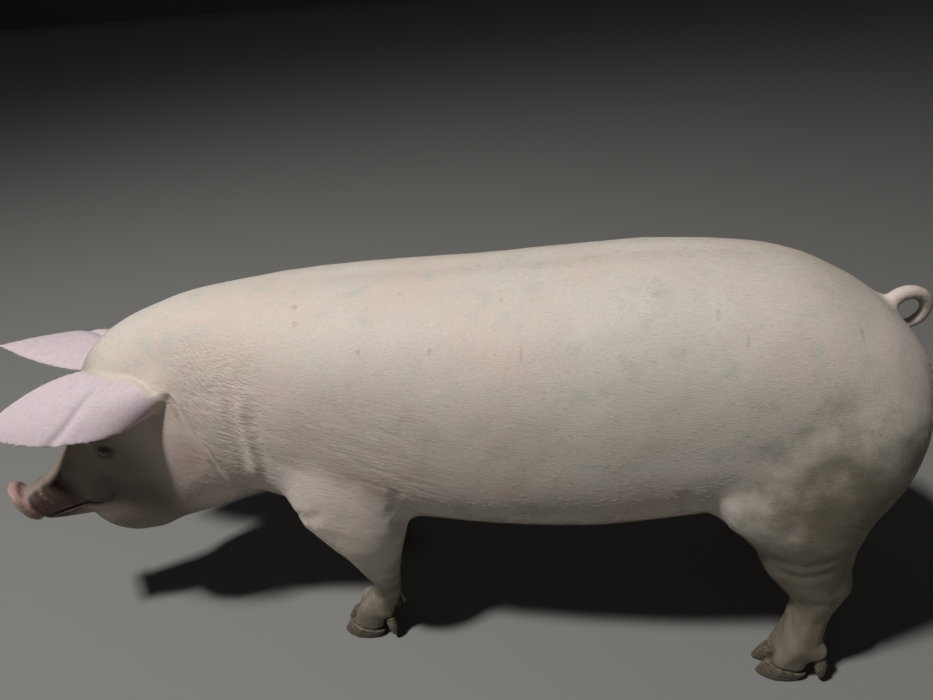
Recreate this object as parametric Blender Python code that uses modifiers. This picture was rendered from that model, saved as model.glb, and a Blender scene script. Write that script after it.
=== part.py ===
"""A standing pig, life size, with its head turned to its left and lowered.

Metres, +Z up.  The pig faces -X and its left side is toward -Y.  The soft body is
shaped whole from a few lofts, blended together and parted into named pieces by
thin cuts.  Eyes, claws, dewclaws, ears, tail and snout are made by themselves.
"""

import math

import bmesh
import bpy
import numpy as np
from mathutils import Matrix, Vector

# ---------------------------------------------------------------- driving sizes
GAP = 0.0003                  # width of every parting cut
BLEND_GRID = 0.0062           # grain of the blended body
BLEND_PASSES = 9              # how far the joins between muscles are softened
BODY_SHARE = 0.0158           # share of the blended triangles that is kept
RING_POINTS = 40              # points round a body section
LEG_POINTS = 28
MASS_SEGMENTS = (16, 10)      # of a rounded mass, around and upward
TOE_POINTS = 20
CENTRE_SHIFT = Vector((0.1562, 0.0003, 0.0))  # puts the middle of the pig on the origin

# Trunk sections from rump to neck: along the back, top, underside, half width.
TRUNK = (
    (0.618, 0.528, 0.460, 0.050),
    (0.600, 0.572, 0.420, 0.100),
    (0.572, 0.612, 0.385, 0.142),
    (0.520, 0.654, 0.356, 0.172),
    (0.440, 0.696, 0.332, 0.190),
    (0.350, 0.718, 0.310, 0.199),
    (0.220, 0.727, 0.278, 0.204),
    (0.080, 0.719, 0.260, 0.207),
    (-0.090, 0.709, 0.267, 0.203),
    (-0.260, 0.703, 0.282, 0.192),
    (-0.390, 0.693, 0.290, 0.172),
    (-0.480, 0.681, 0.306, 0.140),
)
TRUNK_SQUARENESS = 2.35
LIMB_SQUARENESS = 2.2         # neck, legs and toes
ROUND = 2.0                   # squareness of a plain oval

# Neck sections: middle of the section, half height, half width, turn to the left.
NECK = (
    ((-0.400, 0.000, 0.504), 0.187, 0.165, 0),
    ((-0.480, -0.004, 0.490), 0.193, 0.150, 5),
    ((-0.560, -0.014, 0.468), 0.204, 0.137, 11),
    ((-0.630, -0.030, 0.446), 0.203, 0.125, 17),
)

# Head: place of the poll, turn to the left, nose lowered.
POLL = Vector((-0.682, -0.048, 0.617))
HEAD_TURN = 20.0
HEAD_DROP = 24.0
# Head sections: ahead of the poll, top and underside from the poll, half width.
HEAD = (
    (-0.110, -0.002, -0.300, 0.120),
    (-0.055, 0.007, -0.312, 0.118),
    (0.000, 0.008, -0.320, 0.114),
    (0.045, -0.003, -0.320, 0.108),
    (0.090, -0.032, -0.312, 0.095),
    (0.135, -0.073, -0.296, 0.077),
    (0.180, -0.107, -0.288, 0.061),
    (0.230, -0.137, -0.266, 0.050),
    (0.270, -0.150, -0.246, 0.045),
    (0.298, -0.154, -0.230, 0.042),
    (0.340, -0.152, -0.206, 0.037),
)
HEAD_SQUARENESS = 2.3
# Fullness of the face: place from the poll (mirrored), radii along, across and up.
FACE_MASSES = (
    ((-0.108, 0.022, -0.252), (0.128, 0.085, 0.099)),   # jowl
    ((-0.042, 0.060, -0.190), (0.100, 0.050, 0.100)),   # chewing muscle
    ((-0.094, 0.060, -0.100), (0.036, 0.024, 0.026)),   # brow
    ((-0.288, 0.022, -0.182), (0.030, 0.022, 0.026)),   # swelling behind the disc
    ((0.058, 0.094, -0.100), (0.050, 0.040, 0.048)),    # root of the ear
)
MOUTH_LEVEL = -0.212
JAW_START = 0.165
HEAD_CUT = -0.086             # the cut behind the ears, from the poll
# Regions that hold the whole head and the jaw: far corner ahead, width, underside; top.
HEAD_REGION = (-0.60, 0.40, -0.42)
HEAD_REGION_TOP = 0.20
JAW_REGION = (-0.60, 0.20, -0.45)
BEYOND = 2.0                  # farther than any part of the animal reaches
NECK_CUT = -0.455
CHEST_CUT = -0.125
RUMP_CUT = 0.235
FORE_KNEE = 0.142             # heights of the cuts across the legs
HIND_HOCK = 0.190

SNOUT_CENTRE = Vector((-0.327, 0.0, -0.173))
SNOUT_HALF_WIDTH = 0.043
SNOUT_HALF_HEIGHT = 0.039
SNOUT_TURN = 18.0             # the disc is moved to the left, as in sniffing
SNOUT_THICK = 0.016
SNOUT_SQUARENESS = 2.5
SNOUT_POINTS = 24
# Rings of the disc from its back to its face: place in its thickness, share of its size.
SNOUT_RINGS = ((-0.50, 0.90), (-0.20, 0.99), (0.15, 1.03), (0.38, 0.99), (0.50, 0.90))
SNOUT_ROOM = 0.15             # half size of the region that is kept free for the disc
NOSTRIL_RADIUS = 0.0065
NOSTRIL_SPACING = 0.017
NOSTRIL_DEPTH = 0.009
NOSTRIL_UP = 0.002            # above the middle of the disc
NOSTRIL_POINTS = 12

EYE_RADIUS = 0.0125
EYE_SEGMENTS = (16, 8)
EYE_PLACE = Vector((-0.104, 0.0800, -0.138))

EAR_ROOT = {"left": (0.0756, 0.1251, -0.0860), "right": (0.0555, 0.1006, -0.1076)}
EAR_LENGTH = 0.3258
EAR_HALF_WIDTH = 0.0694
EAR_ROOT_SHARE = 0.45         # width at the root and where it is widest
EAR_WIDEST = 0.362
EAR_TAPER = 2.14
EAR_TIP_SHARE = 0.07
EAR_ROLL = 217.9              # how much more the root is rolled up than the tip
EAR_TIP_ROLL = 50.0
EAR_UNROLL = 4.5              # how soon the leaf opens on its way to the tip
EAR_SAG = {"left": 0.1058, "right": 0.0006}   # how far the tip hangs
EAR_THICK = 0.0055
EAR_ROWS = 13
EAR_COLUMNS = 8
# Each ear: heading to the left of straight ahead, rise, outer edge turned down.
EAR_POSE = {"left": (20.04, 4.55, 36.62), "right": (14.9, 6.84, -12.11)}

# Leg sections downward: height, front, rear, distance from the midline, half width.
FORELEG = (
    (0.500, -0.365, -0.235, 0.115, 0.045),
    (0.420, -0.388, -0.205, 0.128, 0.062),
    (0.350, -0.385, -0.187, 0.134, 0.066),
    (0.292, -0.350, -0.190, 0.134, 0.061),
    (0.250, -0.316, -0.203, 0.131, 0.053),
    (0.210, -0.296, -0.214, 0.127, 0.044),
    (0.175, -0.284, -0.222, 0.120, 0.036),
    (0.142, -0.279, -0.227, 0.111, 0.031),
    (0.115, -0.285, -0.230, 0.104, 0.031),
    (0.090, -0.298, -0.236, 0.100, 0.034),
    (0.068, -0.308, -0.243, 0.098, 0.036),
    (0.048, -0.316, -0.254, 0.098, 0.034),
)
HINDLEG = (
    (0.600, 0.350, 0.540, 0.085, 0.078),
    (0.520, 0.290, 0.592, 0.100, 0.095),
    (0.430, 0.262, 0.586, 0.114, 0.094),
    (0.365, 0.280, 0.548, 0.128, 0.081),
    (0.322, 0.326, 0.528, 0.137, 0.069),
    (0.282, 0.364, 0.518, 0.143, 0.057),
    (0.242, 0.382, 0.519, 0.146, 0.048),
    (0.208, 0.406, 0.527, 0.147, 0.041),
    (0.172, 0.436, 0.512, 0.147, 0.036),
    (0.136, 0.438, 0.502, 0.147, 0.034),
    (0.102, 0.435, 0.498, 0.147, 0.037),
    (0.076, 0.428, 0.494, 0.147, 0.039),
    (0.052, 0.422, 0.484, 0.147, 0.036),
)
# Wedge that parts each pair of legs off: inner edge and its height, outer edge and its
# height, front, rear.
LEG_WEDGE = {
    "fore": (0.014, 0.220, 0.300, 0.420, -0.455, -0.165),
    "hind": (0.014, 0.220, 0.300, 0.540, 0.235, 0.700),
}
# Toe sections downward: height, front, rear, half width; front and rear from the foot.
DIGIT = (
    (0.078, -0.012, 0.036, 0.014),
    (0.052, -0.022, 0.034, 0.0165),
    (0.032, -0.030, 0.032, 0.0165),
    (0.012, -0.034, 0.030, 0.0150),
)
DIGIT_SPREAD = 0.0185
FORE_FOOT = (-0.303, 0.098)   # along, from the midline
HIND_FOOT = (0.447, 0.147)
CLAW_TOE = 0.050              # claw length ahead of the foot centre
CLAW_HIGH = 0.036             # height of a claw at its toe
CLAW_SLOPE = 0.26
# Claw sections upward: share of the height, front, rear, half width.
CLAW = (
    (0.00, -0.048, 0.025, 0.0145),
    (0.12, -0.050, 0.027, 0.0155),
    (0.55, -0.043, 0.031, 0.0166),
    (1.00, -0.036, 0.033, 0.0168),
)
CLAW_SQUARENESS = 2.3
CLAW_POINTS = 14
CLAW_NARROWING = 0.42         # share of its width a claw loses toward its toe
CLAW_INWARD = 0.004           # how far the toe turns toward its neighbour
CLAW_ROOM = (0.030, 0.060, 0.020)   # the region of the claws goes this far beyond them
HEEL_PLACE = (0.040, 0.023, 0.068)  # fullness above each dewclaw, from the foot centre
HEEL_RADII = (0.020, 0.016, 0.024)
DEWCLAW_BACK = 0.0345         # the claws end here, the dewclaws begin behind
DEWCLAW_ROOT = (0.047, 0.0235, 0.054)
DEWCLAW_TIP = (0.052, 0.0290, 0.012)
DEWCLAW = ((0.0, 0.0100), (0.35, 0.0115), (0.75, 0.0085), (1.0, 0.0040))  # share, radius
DEWCLAW_FLATNESS = 0.85
DEWCLAW_POINTS = 10

# Tail: centre and radius of its curl, the start and length of the turn in degrees.
TAIL_CENTRE = Vector((0.588, 0.004, 0.606))
TAIL_CURL = 0.035
TAIL_START = 205.0
TAIL_TURN = 430.0
TAIL_DRIFT = 0.040
TAIL_ROOT_RADIUS = 0.0150
TAIL_TIP_RADIUS = 0.0065
TAIL_PARTS = 3
TAIL_RINGS = 9                # rings in one length
TAIL_POINTS = 10
TAIL_TIGHTENING = 0.25        # share of its radius the curl loses on its way round

# Stance: how far behind and how far outside of the left leg's place a foot is set.
STANCE = {
    "fore_left": (0.0, 0.0),
    "fore_right": (-0.028, 0.040),
    "hind_left": (0.0, 0.0),
    "hind_right": (0.070, 0.0),
}
LEAN_FROM = 0.50              # a leg begins to lean to its foot's place at this height
LEAN_TO = 0.09                # and has reached it here


# ------------------------------------------------------------------- collections
def fresh_scene():
    for thing in list(bpy.data.objects):
        bpy.data.objects.remove(thing, do_unlink=True)
    made = []
    for label in ("pig", "cutters"):
        group = bpy.data.collections.new(label)
        bpy.context.scene.collection.children.link(group)
        made.append(group)
    return made


def add_object(name, mesh, group, material=None):
    thing = bpy.data.objects.new(name, mesh)
    group.objects.link(thing)
    if material is not None:
        mesh.materials.clear()
        mesh.materials.append(material)
    return thing


def add_guide(name, mesh, group):
    thing = add_object(name, mesh, group)
    thing.hide_render = True
    thing.display_type = "WIRE"
    return thing


# --------------------------------------------------------------------- materials
def surface(name, colour, roughness, metallic=0.0):
    material = bpy.data.materials.new(name)
    material.use_nodes = True
    shader = material.node_tree.nodes["Principled BSDF"]
    shader.inputs["Base Color"].default_value = (*colour, 1.0)
    shader.inputs["Roughness"].default_value = roughness
    shader.inputs["Metallic"].default_value = metallic
    return material


# ------------------------------------------------------------------------ lofts
def spline_rows(rows, steps):
    """A smooth curve through the rows of a table (Catmull-Rom)."""
    table = np.array(rows, dtype=float)
    padded = np.vstack((2 * table[0] - table[1], table, 2 * table[-1] - table[-2]))
    result = []
    for index in range(len(table) - 1):
        before, start, end, after = padded[index:index + 4]
        for step in range(steps):
            t = step / steps
            result.append(0.5 * (2 * start + (end - before) * t
                                 + (2 * before - 5 * start + 4 * end - after) * t ** 2
                                 + (3 * start - before - 3 * end + after) * t ** 3))
    result.append(table[-1])
    return result


def oval(half_width, half_height, squareness, count=RING_POINTS):
    """Points of a rounded oval in (across, up)."""
    points = []
    for index in range(count):
        angle = math.tau * index / count
        across = math.copysign(abs(math.cos(angle)) ** (2 / squareness), math.cos(angle))
        up = math.copysign(abs(math.sin(angle)) ** (2 / squareness), math.sin(angle))
        points.append((half_width * across, half_height * up))
    return points


def add_loft(mesh, rings):
    """Skin a run of rings, closed at both ends with a flat face."""
    loops = [[mesh.verts.new(point) for point in ring] for ring in rings]
    count = len(loops[0])
    for lower, upper in zip(loops, loops[1:]):
        for index in range(count):
            after = (index + 1) % count
            mesh.faces.new((lower[index], lower[after], upper[after], upper[index]))
    mesh.faces.new(list(reversed(loops[0])))
    mesh.faces.new(loops[-1])


def finish_mesh(name, mesh):
    bmesh.ops.recalc_face_normals(mesh, faces=mesh.faces)
    data = bpy.data.meshes.new(name)
    mesh.to_mesh(data)
    mesh.free()
    return data


# ------------------------------------------------------------------ body masses
def head_matrix():
    return (Matrix.Translation(POLL)
            @ Matrix.Rotation(math.radians(HEAD_TURN), 4, "Z")
            @ Matrix.Rotation(math.radians(-HEAD_DROP), 4, "Y"))


def trunk_rings():
    for x, top, bottom, half_width in spline_rows(TRUNK, 4):
        middle = (top + bottom) / 2
        half_height = (top - bottom) / 2
        yield [Vector((x, across, middle + up))
               for across, up in oval(half_width, half_height, TRUNK_SQUARENESS)]


def neck_rings():
    rows = [(*place, tall, wide, turn) for place, tall, wide, turn in NECK]
    for x, y, z, tall, wide, turn in spline_rows(rows, 4):
        swing = math.radians(turn)
        aside = Vector((-math.sin(swing), math.cos(swing), 0.0))
        yield [Vector((x, y, z + up)) + aside * across
               for across, up in oval(wide, tall, LIMB_SQUARENESS)]


def head_rings():
    place = head_matrix()
    for ahead, top, bottom, half_width in spline_rows(HEAD, 4):
        middle = (top + bottom) / 2
        half_height = (top - bottom) / 2
        yield [place @ Vector((-ahead, across, middle + up))
               for across, up in oval(half_width, half_height, HEAD_SQUARENESS)]


def leg_rings(rows, side, stance):
    """Level sections of one leg; side is -1 for the left legs."""
    shift, splay = stance
    for height, front, rear, aside, half_width in spline_rows(rows, 3):
        lean = min(1.0, max(0.0, (LEAN_FROM - height) / (LEAN_FROM - LEAN_TO)))
        middle = (front + rear) / 2 + shift * lean
        outward = side * (aside + splay * lean)
        yield [Vector((middle + along, outward + across, height))
               for along, across in oval((rear - front) / 2, half_width, LIMB_SQUARENESS,
                                          LEG_POINTS)]


def digit_rings(foot, side, offset):
    """One toe above its claw, sloping forward to the ground."""
    for height, front, rear, half_width in spline_rows(DIGIT, 3):
        middle = (front + rear) / 2 + foot.x
        across_middle = foot.y + offset * DIGIT_SPREAD
        yield [Vector((middle + along, across_middle + across, height))
               for along, across in oval((rear - front) / 2, half_width, LIMB_SQUARENESS,
                                          TOE_POINTS)]


def ball(mesh, frame, place, radii):
    """A rounded mass in a frame; radii along, across and up."""
    shape = frame @ Matrix.Translation(place) @ Matrix.Diagonal((*radii, 1.0))
    around, upward = MASS_SEGMENTS
    bmesh.ops.create_uvsphere(mesh, u_segments=around, v_segments=upward, radius=1.0,
                              matrix=shape)


def legs():
    """Pair, label, section table, cut height, side, stance and foot centre of each leg."""
    for pair, rows, cut, place in (("fore", FORELEG, FORE_KNEE, FORE_FOOT),
                                   ("hind", HINDLEG, HIND_HOCK, HIND_FOOT)):
        for label, side in (("left", -1), ("right", 1)):
            stance = STANCE[f"{pair}_{label}"]
            foot = Vector((place[0] + stance[0], side * (place[1] + stance[1]), 0.0))
            yield pair, label, rows, cut, side, stance, foot


def body_masses():
    """The overlapping masses of the whole animal, in one mesh."""
    mesh = bmesh.new()
    add_loft(mesh, trunk_rings())
    add_loft(mesh, neck_rings())
    add_loft(mesh, head_rings())
    for (along, across, up), radii in FACE_MASSES:
        for side in (-1, 1):
            ball(mesh, head_matrix(), (along, side * across, up), radii)
    for _, _, rows, _, side, stance, foot in legs():
        add_loft(mesh, leg_rings(rows, side, stance))
        for offset in (-1, 1):
            add_loft(mesh, digit_rings(foot, side, offset))
            along, across, up = HEEL_PLACE
            ball(mesh, Matrix.Translation(foot), (along, offset * across, up), HEEL_RADII)
    return finish_mesh("body_masses", mesh)


def blended_body(cutters):
    """The masses run together into one smooth skin, light enough to part."""
    blend = add_guide("body_blend", body_masses(), cutters)
    remesh = blend.modifiers.new("blend", "REMESH")
    remesh.mode = "VOXEL"
    remesh.voxel_size = BLEND_GRID
    soften = blend.modifiers.new("soften", "SMOOTH")
    soften.factor = 0.5
    soften.iterations = BLEND_PASSES
    lighten = blend.modifiers.new("lighten", "DECIMATE")
    lighten.ratio = BODY_SHARE
    bpy.context.view_layer.update()
    ready = blend.evaluated_get(bpy.context.evaluated_depsgraph_get())
    return bpy.data.meshes.new_from_object(ready)


# --------------------------------------------------------------------- cutters
def block(name, low, high, cutters, place=None):
    """A box between two corners, in the frame given by place."""
    mesh = bmesh.new()
    size = Vector(high) - Vector(low)
    middle = (Vector(high) + Vector(low)) / 2
    bmesh.ops.create_cube(mesh, size=1.0,
                          matrix=Matrix.Translation(middle) @ Matrix.Diagonal((*size, 1.0)))
    if place is not None:
        mesh.transform(place)
    return add_guide(name, finish_mesh(name, mesh), cutters)


def prism(name, outline, start, end, axis, cutters):
    """An outline swept from start to end along X (outline in YZ) or Y (in XZ)."""
    mesh = bmesh.new()
    rings = []
    for place in (start, end):
        if axis == "X":
            rings.append([Vector((place, a, b)) for a, b in outline])
        else:
            rings.append([Vector((a, place, b)) for a, b in outline])
    add_loft(mesh, rings)
    return add_guide(name, finish_mesh(name, mesh), cutters)


def boolean(thing, cutter, operation):
    cut = thing.modifiers.new(cutter.name, "BOOLEAN")
    cut.operation = operation
    cut.solver = "EXACT"
    cut.object = cutter


def carve(name, mesh, keep, drop, group, material):
    """One piece: what lies inside every kept region and outside every dropped one."""
    thing = add_object(name, mesh.copy(), group, material)
    for cutter in keep:
        boolean(thing, cutter, "INTERSECT")
    for cutter in drop:
        boolean(thing, cutter, "DIFFERENCE")
    return thing


# ---------------------------------------------------------- eyes, snout and ears
def eye_place(side):
    return head_matrix() @ Vector((EYE_PLACE.x, side * EYE_PLACE.y, EYE_PLACE.z))


def eye_mesh(side, growth):
    mesh = bmesh.new()
    around, upward = EYE_SEGMENTS
    bmesh.ops.create_uvsphere(mesh, u_segments=around, v_segments=upward,
                              radius=EYE_RADIUS + growth,
                              matrix=Matrix.Translation(eye_place(side)))
    return finish_mesh("eye", mesh)


def snout_matrix():
    return (head_matrix() @ Matrix.Translation(SNOUT_CENTRE)
            @ Matrix.Rotation(math.radians(SNOUT_TURN), 4, "Z"))


def snout_mesh():
    """The disc, its rim a little wider than its back and face."""
    mesh = bmesh.new()
    place = snout_matrix()
    rings = []
    for ahead, scale in SNOUT_RINGS:
        rings.append([place @ Vector((-ahead * SNOUT_THICK, across, up))
                      for across, up in oval(scale * SNOUT_HALF_WIDTH,
                                             scale * SNOUT_HALF_HEIGHT, SNOUT_SQUARENESS,
                                             SNOUT_POINTS)])
    add_loft(mesh, rings)
    return finish_mesh("snout", mesh)


def nostril(side, cutters):
    mesh = bmesh.new()
    ahead = SNOUT_THICK / 2
    place = (snout_matrix()
             @ Matrix.Translation((-ahead, side * NOSTRIL_SPACING, NOSTRIL_UP))
             @ Matrix.Rotation(math.radians(90), 4, "Y"))
    bmesh.ops.create_cone(mesh, cap_ends=True, segments=NOSTRIL_POINTS, radius1=NOSTRIL_RADIUS,
                          radius2=NOSTRIL_RADIUS, depth=2 * NOSTRIL_DEPTH, matrix=place)
    return add_guide(f"nostril_{side}", finish_mesh("nostril", mesh), cutters)


def ear_matrix(label, side):
    """Ear frame: -X to the tip, +Y to the outer edge (left ear: mirrored), +Z the back."""
    heading, rise, turned_down = EAR_POSE[label]
    back, aside, up = EAR_ROOT[label]
    root = head_matrix() @ Vector((back, side * aside, up))
    return (Matrix.Translation(root)
            @ Matrix.Rotation(math.radians(heading), 4, "Z")
            @ Matrix.Rotation(math.radians(rise), 4, "Y")
            @ Matrix.Rotation(-side * math.radians(turned_down), 4, "X"))


def ear_half_width(along):
    """Half the width of the ear from its root (0) to its pointed tip (1)."""
    if along < EAR_WIDEST:
        swell = math.sin(math.pi / 2 * along / EAR_WIDEST)
        return EAR_HALF_WIDTH * (EAR_ROOT_SHARE + (1 - EAR_ROOT_SHARE) * swell)
    taper = (along - EAR_WIDEST) / (1 - EAR_WIDEST)
    return EAR_HALF_WIDTH * max(EAR_TIP_SHARE, 1 - taper ** EAR_TAPER)


def ear_surface(label, side):
    """A leaf rolled up at the root and nearly flat at the tip."""
    mesh = bmesh.new()
    place = ear_matrix(label, side)
    rows = []
    for row in range(EAR_ROWS):
        along = row / (EAR_ROWS - 1)
        roll = math.radians(EAR_ROLL * (1 - along) ** EAR_UNROLL + EAR_TIP_ROLL)
        radius = 2 * ear_half_width(along) / roll
        sag = EAR_SAG[label] * along ** 2
        line = []
        for column in range(EAR_COLUMNS):
            angle = roll * (column / (EAR_COLUMNS - 1) - 0.5)
            across = radius * math.sin(angle)
            lift = radius * (math.cos(angle) - 1) - sag
            line.append(mesh.verts.new(place @ Vector((-along * EAR_LENGTH, across, lift))))
        rows.append(line)
    for near, far in zip(rows, rows[1:]):
        for a, b, c, d in zip(near, near[1:], far[1:], far):
            mesh.faces.new((a, b, c, d))
    data = bpy.data.meshes.new(f"ear_{label}")
    mesh.to_mesh(data)
    mesh.free()
    return data


def thicken(thing, thickness):
    shell = thing.modifiers.new("shell", "SOLIDIFY")
    shell.thickness = thickness
    shell.offset = 0.0
    shell.use_even_offset = True


# ------------------------------------------------------------------------ claws
def claw_top(along, high, slope):
    """Height of the coronet above the floor, lower toward the heel."""
    return high - slope * (along + CLAW_TOE)


def claw_mesh(foot, offset):
    """A main claw: flat sole, pointed toe, its top sloping down to the heel."""
    mesh = bmesh.new()
    rings = []
    for share, front, rear, half_width in CLAW:
        middle = (front + rear) / 2
        ring = []
        for along, across in oval((rear - front) / 2, half_width, CLAW_SQUARENESS,
                                  CLAW_POINTS):
            lean = max(0.0, (middle - (middle + along)) / (middle - front))
            narrow = 1 - CLAW_NARROWING * lean ** 2
            inward = -offset * CLAW_INWARD * lean ** 2
            x = middle + along
            height = share * (claw_top(x, CLAW_HIGH, CLAW_SLOPE) - GAP)
            ring.append(foot + Vector((x, offset * DIGIT_SPREAD + across * narrow + inward,
                                       height)))
        rings.append(ring)
    add_loft(mesh, rings)
    return finish_mesh("claw", mesh)


def claw_region(name, foot, cutters):
    """All that lies under the slope of the coronets of one foot."""
    ahead, aside, below = CLAW_ROOM
    front = -CLAW_TOE - ahead
    rear = DEWCLAW_BACK
    outline = ((foot.x + front, -below), (foot.x + rear, -below),
               (foot.x + rear, claw_top(rear, CLAW_HIGH, CLAW_SLOPE)),
               (foot.x + front, claw_top(front, CLAW_HIGH, CLAW_SLOPE)))
    return prism(name, outline, foot.y - aside, foot.y + aside, "Y", cutters)


def dewclaw_mesh(foot, offset, growth):
    """A small hind claw hanging behind the foot, blunt at its end."""
    mesh = bmesh.new()
    root, tip = (foot + Vector((along, offset * across, up))
                 for along, across, up in (DEWCLAW_ROOT, DEWCLAW_TIP))
    direction = (tip - root).normalized()
    turn = direction.to_track_quat("Z", "X").to_matrix()
    rings = []
    for share, radius in DEWCLAW:
        middle = root.lerp(tip, share) + direction * growth * (2 * share - 1)
        rings.append([middle + turn @ Vector((a, b, 0.0))
                      for a, b in oval(radius + growth, (radius + growth) * DEWCLAW_FLATNESS, ROUND,
                                   DEWCLAW_POINTS)])
    add_loft(mesh, rings)
    return finish_mesh("dewclaw", mesh)


# ------------------------------------------------------------------------- tail
def tail_point(share):
    """The tail's middle line: out of the rump, then once round a curl."""
    angle = math.radians(TAIL_START - TAIL_TURN * share)
    radius = TAIL_CURL * (1.0 - TAIL_TIGHTENING * share)
    x = TAIL_CENTRE.x + radius * math.cos(angle)
    z = TAIL_CENTRE.z + radius * math.sin(angle)
    return Vector((x, TAIL_CENTRE.y + TAIL_DRIFT * share, z))


def tail_radius(share):
    return TAIL_ROOT_RADIUS + (TAIL_TIP_RADIUS - TAIL_ROOT_RADIUS) * max(0.0, share) ** 0.9


def tail_mesh(start, end, growth=0.0):
    """One length of the tail, between two shares of the whole."""
    mesh = bmesh.new()
    rings = []
    for index in range(TAIL_RINGS):
        share = start + (end - start) * index / (TAIL_RINGS - 1)
        middle = tail_point(share)
        ahead = (tail_point(share + 0.01) - tail_point(share - 0.01)).normalized()
        aside = Vector((0.0, 1.0, 0.0))
        across = ahead.cross(aside).normalized()
        aside = across.cross(ahead)
        radius = tail_radius(share) + growth
        rings.append([middle + across * a + aside * b for a, b in oval(radius, radius, ROUND, TAIL_POINTS)])
    add_loft(mesh, rings)
    return finish_mesh("tail", mesh)


# --------------------------------------------------------------------- regions
def slab(name, start, end, cutters):
    """The region between two places along the back, less half the gap at each end."""
    return block(name, (start + GAP / 2, -BEYOND, -BEYOND), (end - GAP / 2, BEYOND, BEYOND),
                 cutters)


def head_regions(cutters):
    """Head region as kept and as dropped from the neck."""
    regions = []
    for label, growth in (("head_in", 0.0), ("head_out", GAP)):
        ahead, aside, below = HEAD_REGION
        low = (ahead, -aside, below)
        high = (-HEAD_CUT + growth, aside, HEAD_REGION_TOP)
        regions.append(block(label, low, high, cutters, head_matrix()))
    return regions


def jaw_regions(cutters):
    regions = []
    for label, growth in (("jaw_in", 0.0), ("jaw_out", GAP)):
        ahead, aside, below = JAW_REGION
        low = (ahead, -aside, below)
        high = (-JAW_START + growth, aside, MOUTH_LEVEL + growth)
        regions.append(block(label, low, high, cutters, head_matrix()))
    return regions


def leg_regions(pair, label, side, cutters):
    """The wedge that holds one leg: its top climbs from the armpit or groin outward."""
    inner, inner_height, outer, outer_height, front, rear = LEG_WEDGE[pair]
    regions = []
    for kind, growth in (("in", 0.0), ("out", GAP)):
        outline = [(side * (inner - growth), -0.05),
                   (side * (inner - growth), inner_height + growth),
                   (side * outer, outer_height + growth),
                   (side * outer, -0.05)]
        regions.append(prism(f"{pair}_{label}_{kind}", outline, front - growth,
                             rear + growth, "X", cutters))
    return regions


# -------------------------------------------------------------------- assembly
def make_eyes(group, cutters, material):
    sockets = []
    for label, side in (("left", -1), ("right", 1)):
        add_object(f"eye_{label}", eye_mesh(side, 0.0), group, material)
        sockets.append(add_guide(f"socket_{label}", eye_mesh(side, GAP), cutters))
    return sockets


def make_ears(whole, group, cutters, material):
    """The ears, each cut off where it meets the skin of the head."""
    grown = add_guide("body_grown", whole.copy(), cutters)
    grow = grown.modifiers.new("grow", "DISPLACE")
    grow.strength = GAP
    grow.mid_level = 0.0
    for label, side in (("left", -1), ("right", 1)):
        ear = add_object(f"ear_{label}", ear_surface(label, side), group, material)
        thicken(ear, EAR_THICK)
        boolean(ear, grown, "DIFFERENCE")


def make_snout(group, cutters, material):
    snout = add_object("snout_disc", snout_mesh(), group, material)
    for side in (-1, 1):
        boolean(snout, nostril(side, cutters), "DIFFERENCE")
    reach = SNOUT_THICK / 2 + GAP
    return block("snout_region", (-SNOUT_ROOM,) * 3, (reach, SNOUT_ROOM, SNOUT_ROOM), cutters,
                 snout_matrix())


def make_tail(group, cutters, material):
    """The tail in lengths, and the hollows they take where they touch the rump."""
    seam = GAP / (TAIL_CURL * math.radians(TAIL_TURN))
    hollows = []
    for index in range(TAIL_PARTS):
        start = index / TAIL_PARTS + (seam if index else 0.0)
        end = (index + 1) / TAIL_PARTS
        add_object(f"tail_{index + 1}", tail_mesh(start, end), group, material)
        room = tail_mesh(start - 2 * seam, end, 2 * GAP)
        hollows.append(add_guide(f"tail_hollow_{index + 1}", room, cutters))
    return hollows


def make_legs(whole, group, cutters, flesh, horn):
    """Four legs, each with its upper part, its foot, two claws and two dewclaws."""
    dropped = {}
    for pair, label, _, cut, side, _, foot in legs():
        keep, drop = leg_regions(pair, label, side, cutters)
        dropped[pair, label] = drop
        above = block(f"{pair}_{label}_above", (-BEYOND, -BEYOND, cut + GAP / 2), (BEYOND,) * 3,
                      cutters)
        below = block(f"{pair}_{label}_below", (-BEYOND,) * 3, (BEYOND, BEYOND, cut - GAP / 2),
                      cutters)
        carve(f"{pair}leg_{label}", whole, [keep, above], [], group, flesh)
        claws = claw_region(f"{pair}_{label}_claws", foot, cutters)
        hollows = [claws]
        for offset, place in ((side, "outer"), (-side, "inner")):
            name = f"{pair}_{label}_{place}"
            add_object(f"claw_{name}", claw_mesh(foot, offset), group, horn)
            add_object(f"dewclaw_{name}", dewclaw_mesh(foot, offset, 0.0), group, horn)
            hollows.append(add_guide(f"dewclaw_hollow_{name}",
                                     dewclaw_mesh(foot, offset, GAP), cutters))
        carve(f"{pair}foot_{label}", whole, [keep, below], hollows, group, flesh)
    return dropped


def make_head(whole, group, cutters, flesh, snout_region, sockets):
    head_in, head_out = head_regions(cutters)
    jaw_in, jaw_out = jaw_regions(cutters)
    carve("head", whole, [head_in], [snout_region, jaw_out] + sockets, group, flesh)
    carve("lower_jaw", whole, [head_in, jaw_in], [snout_region], group, flesh)
    return head_out


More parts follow.
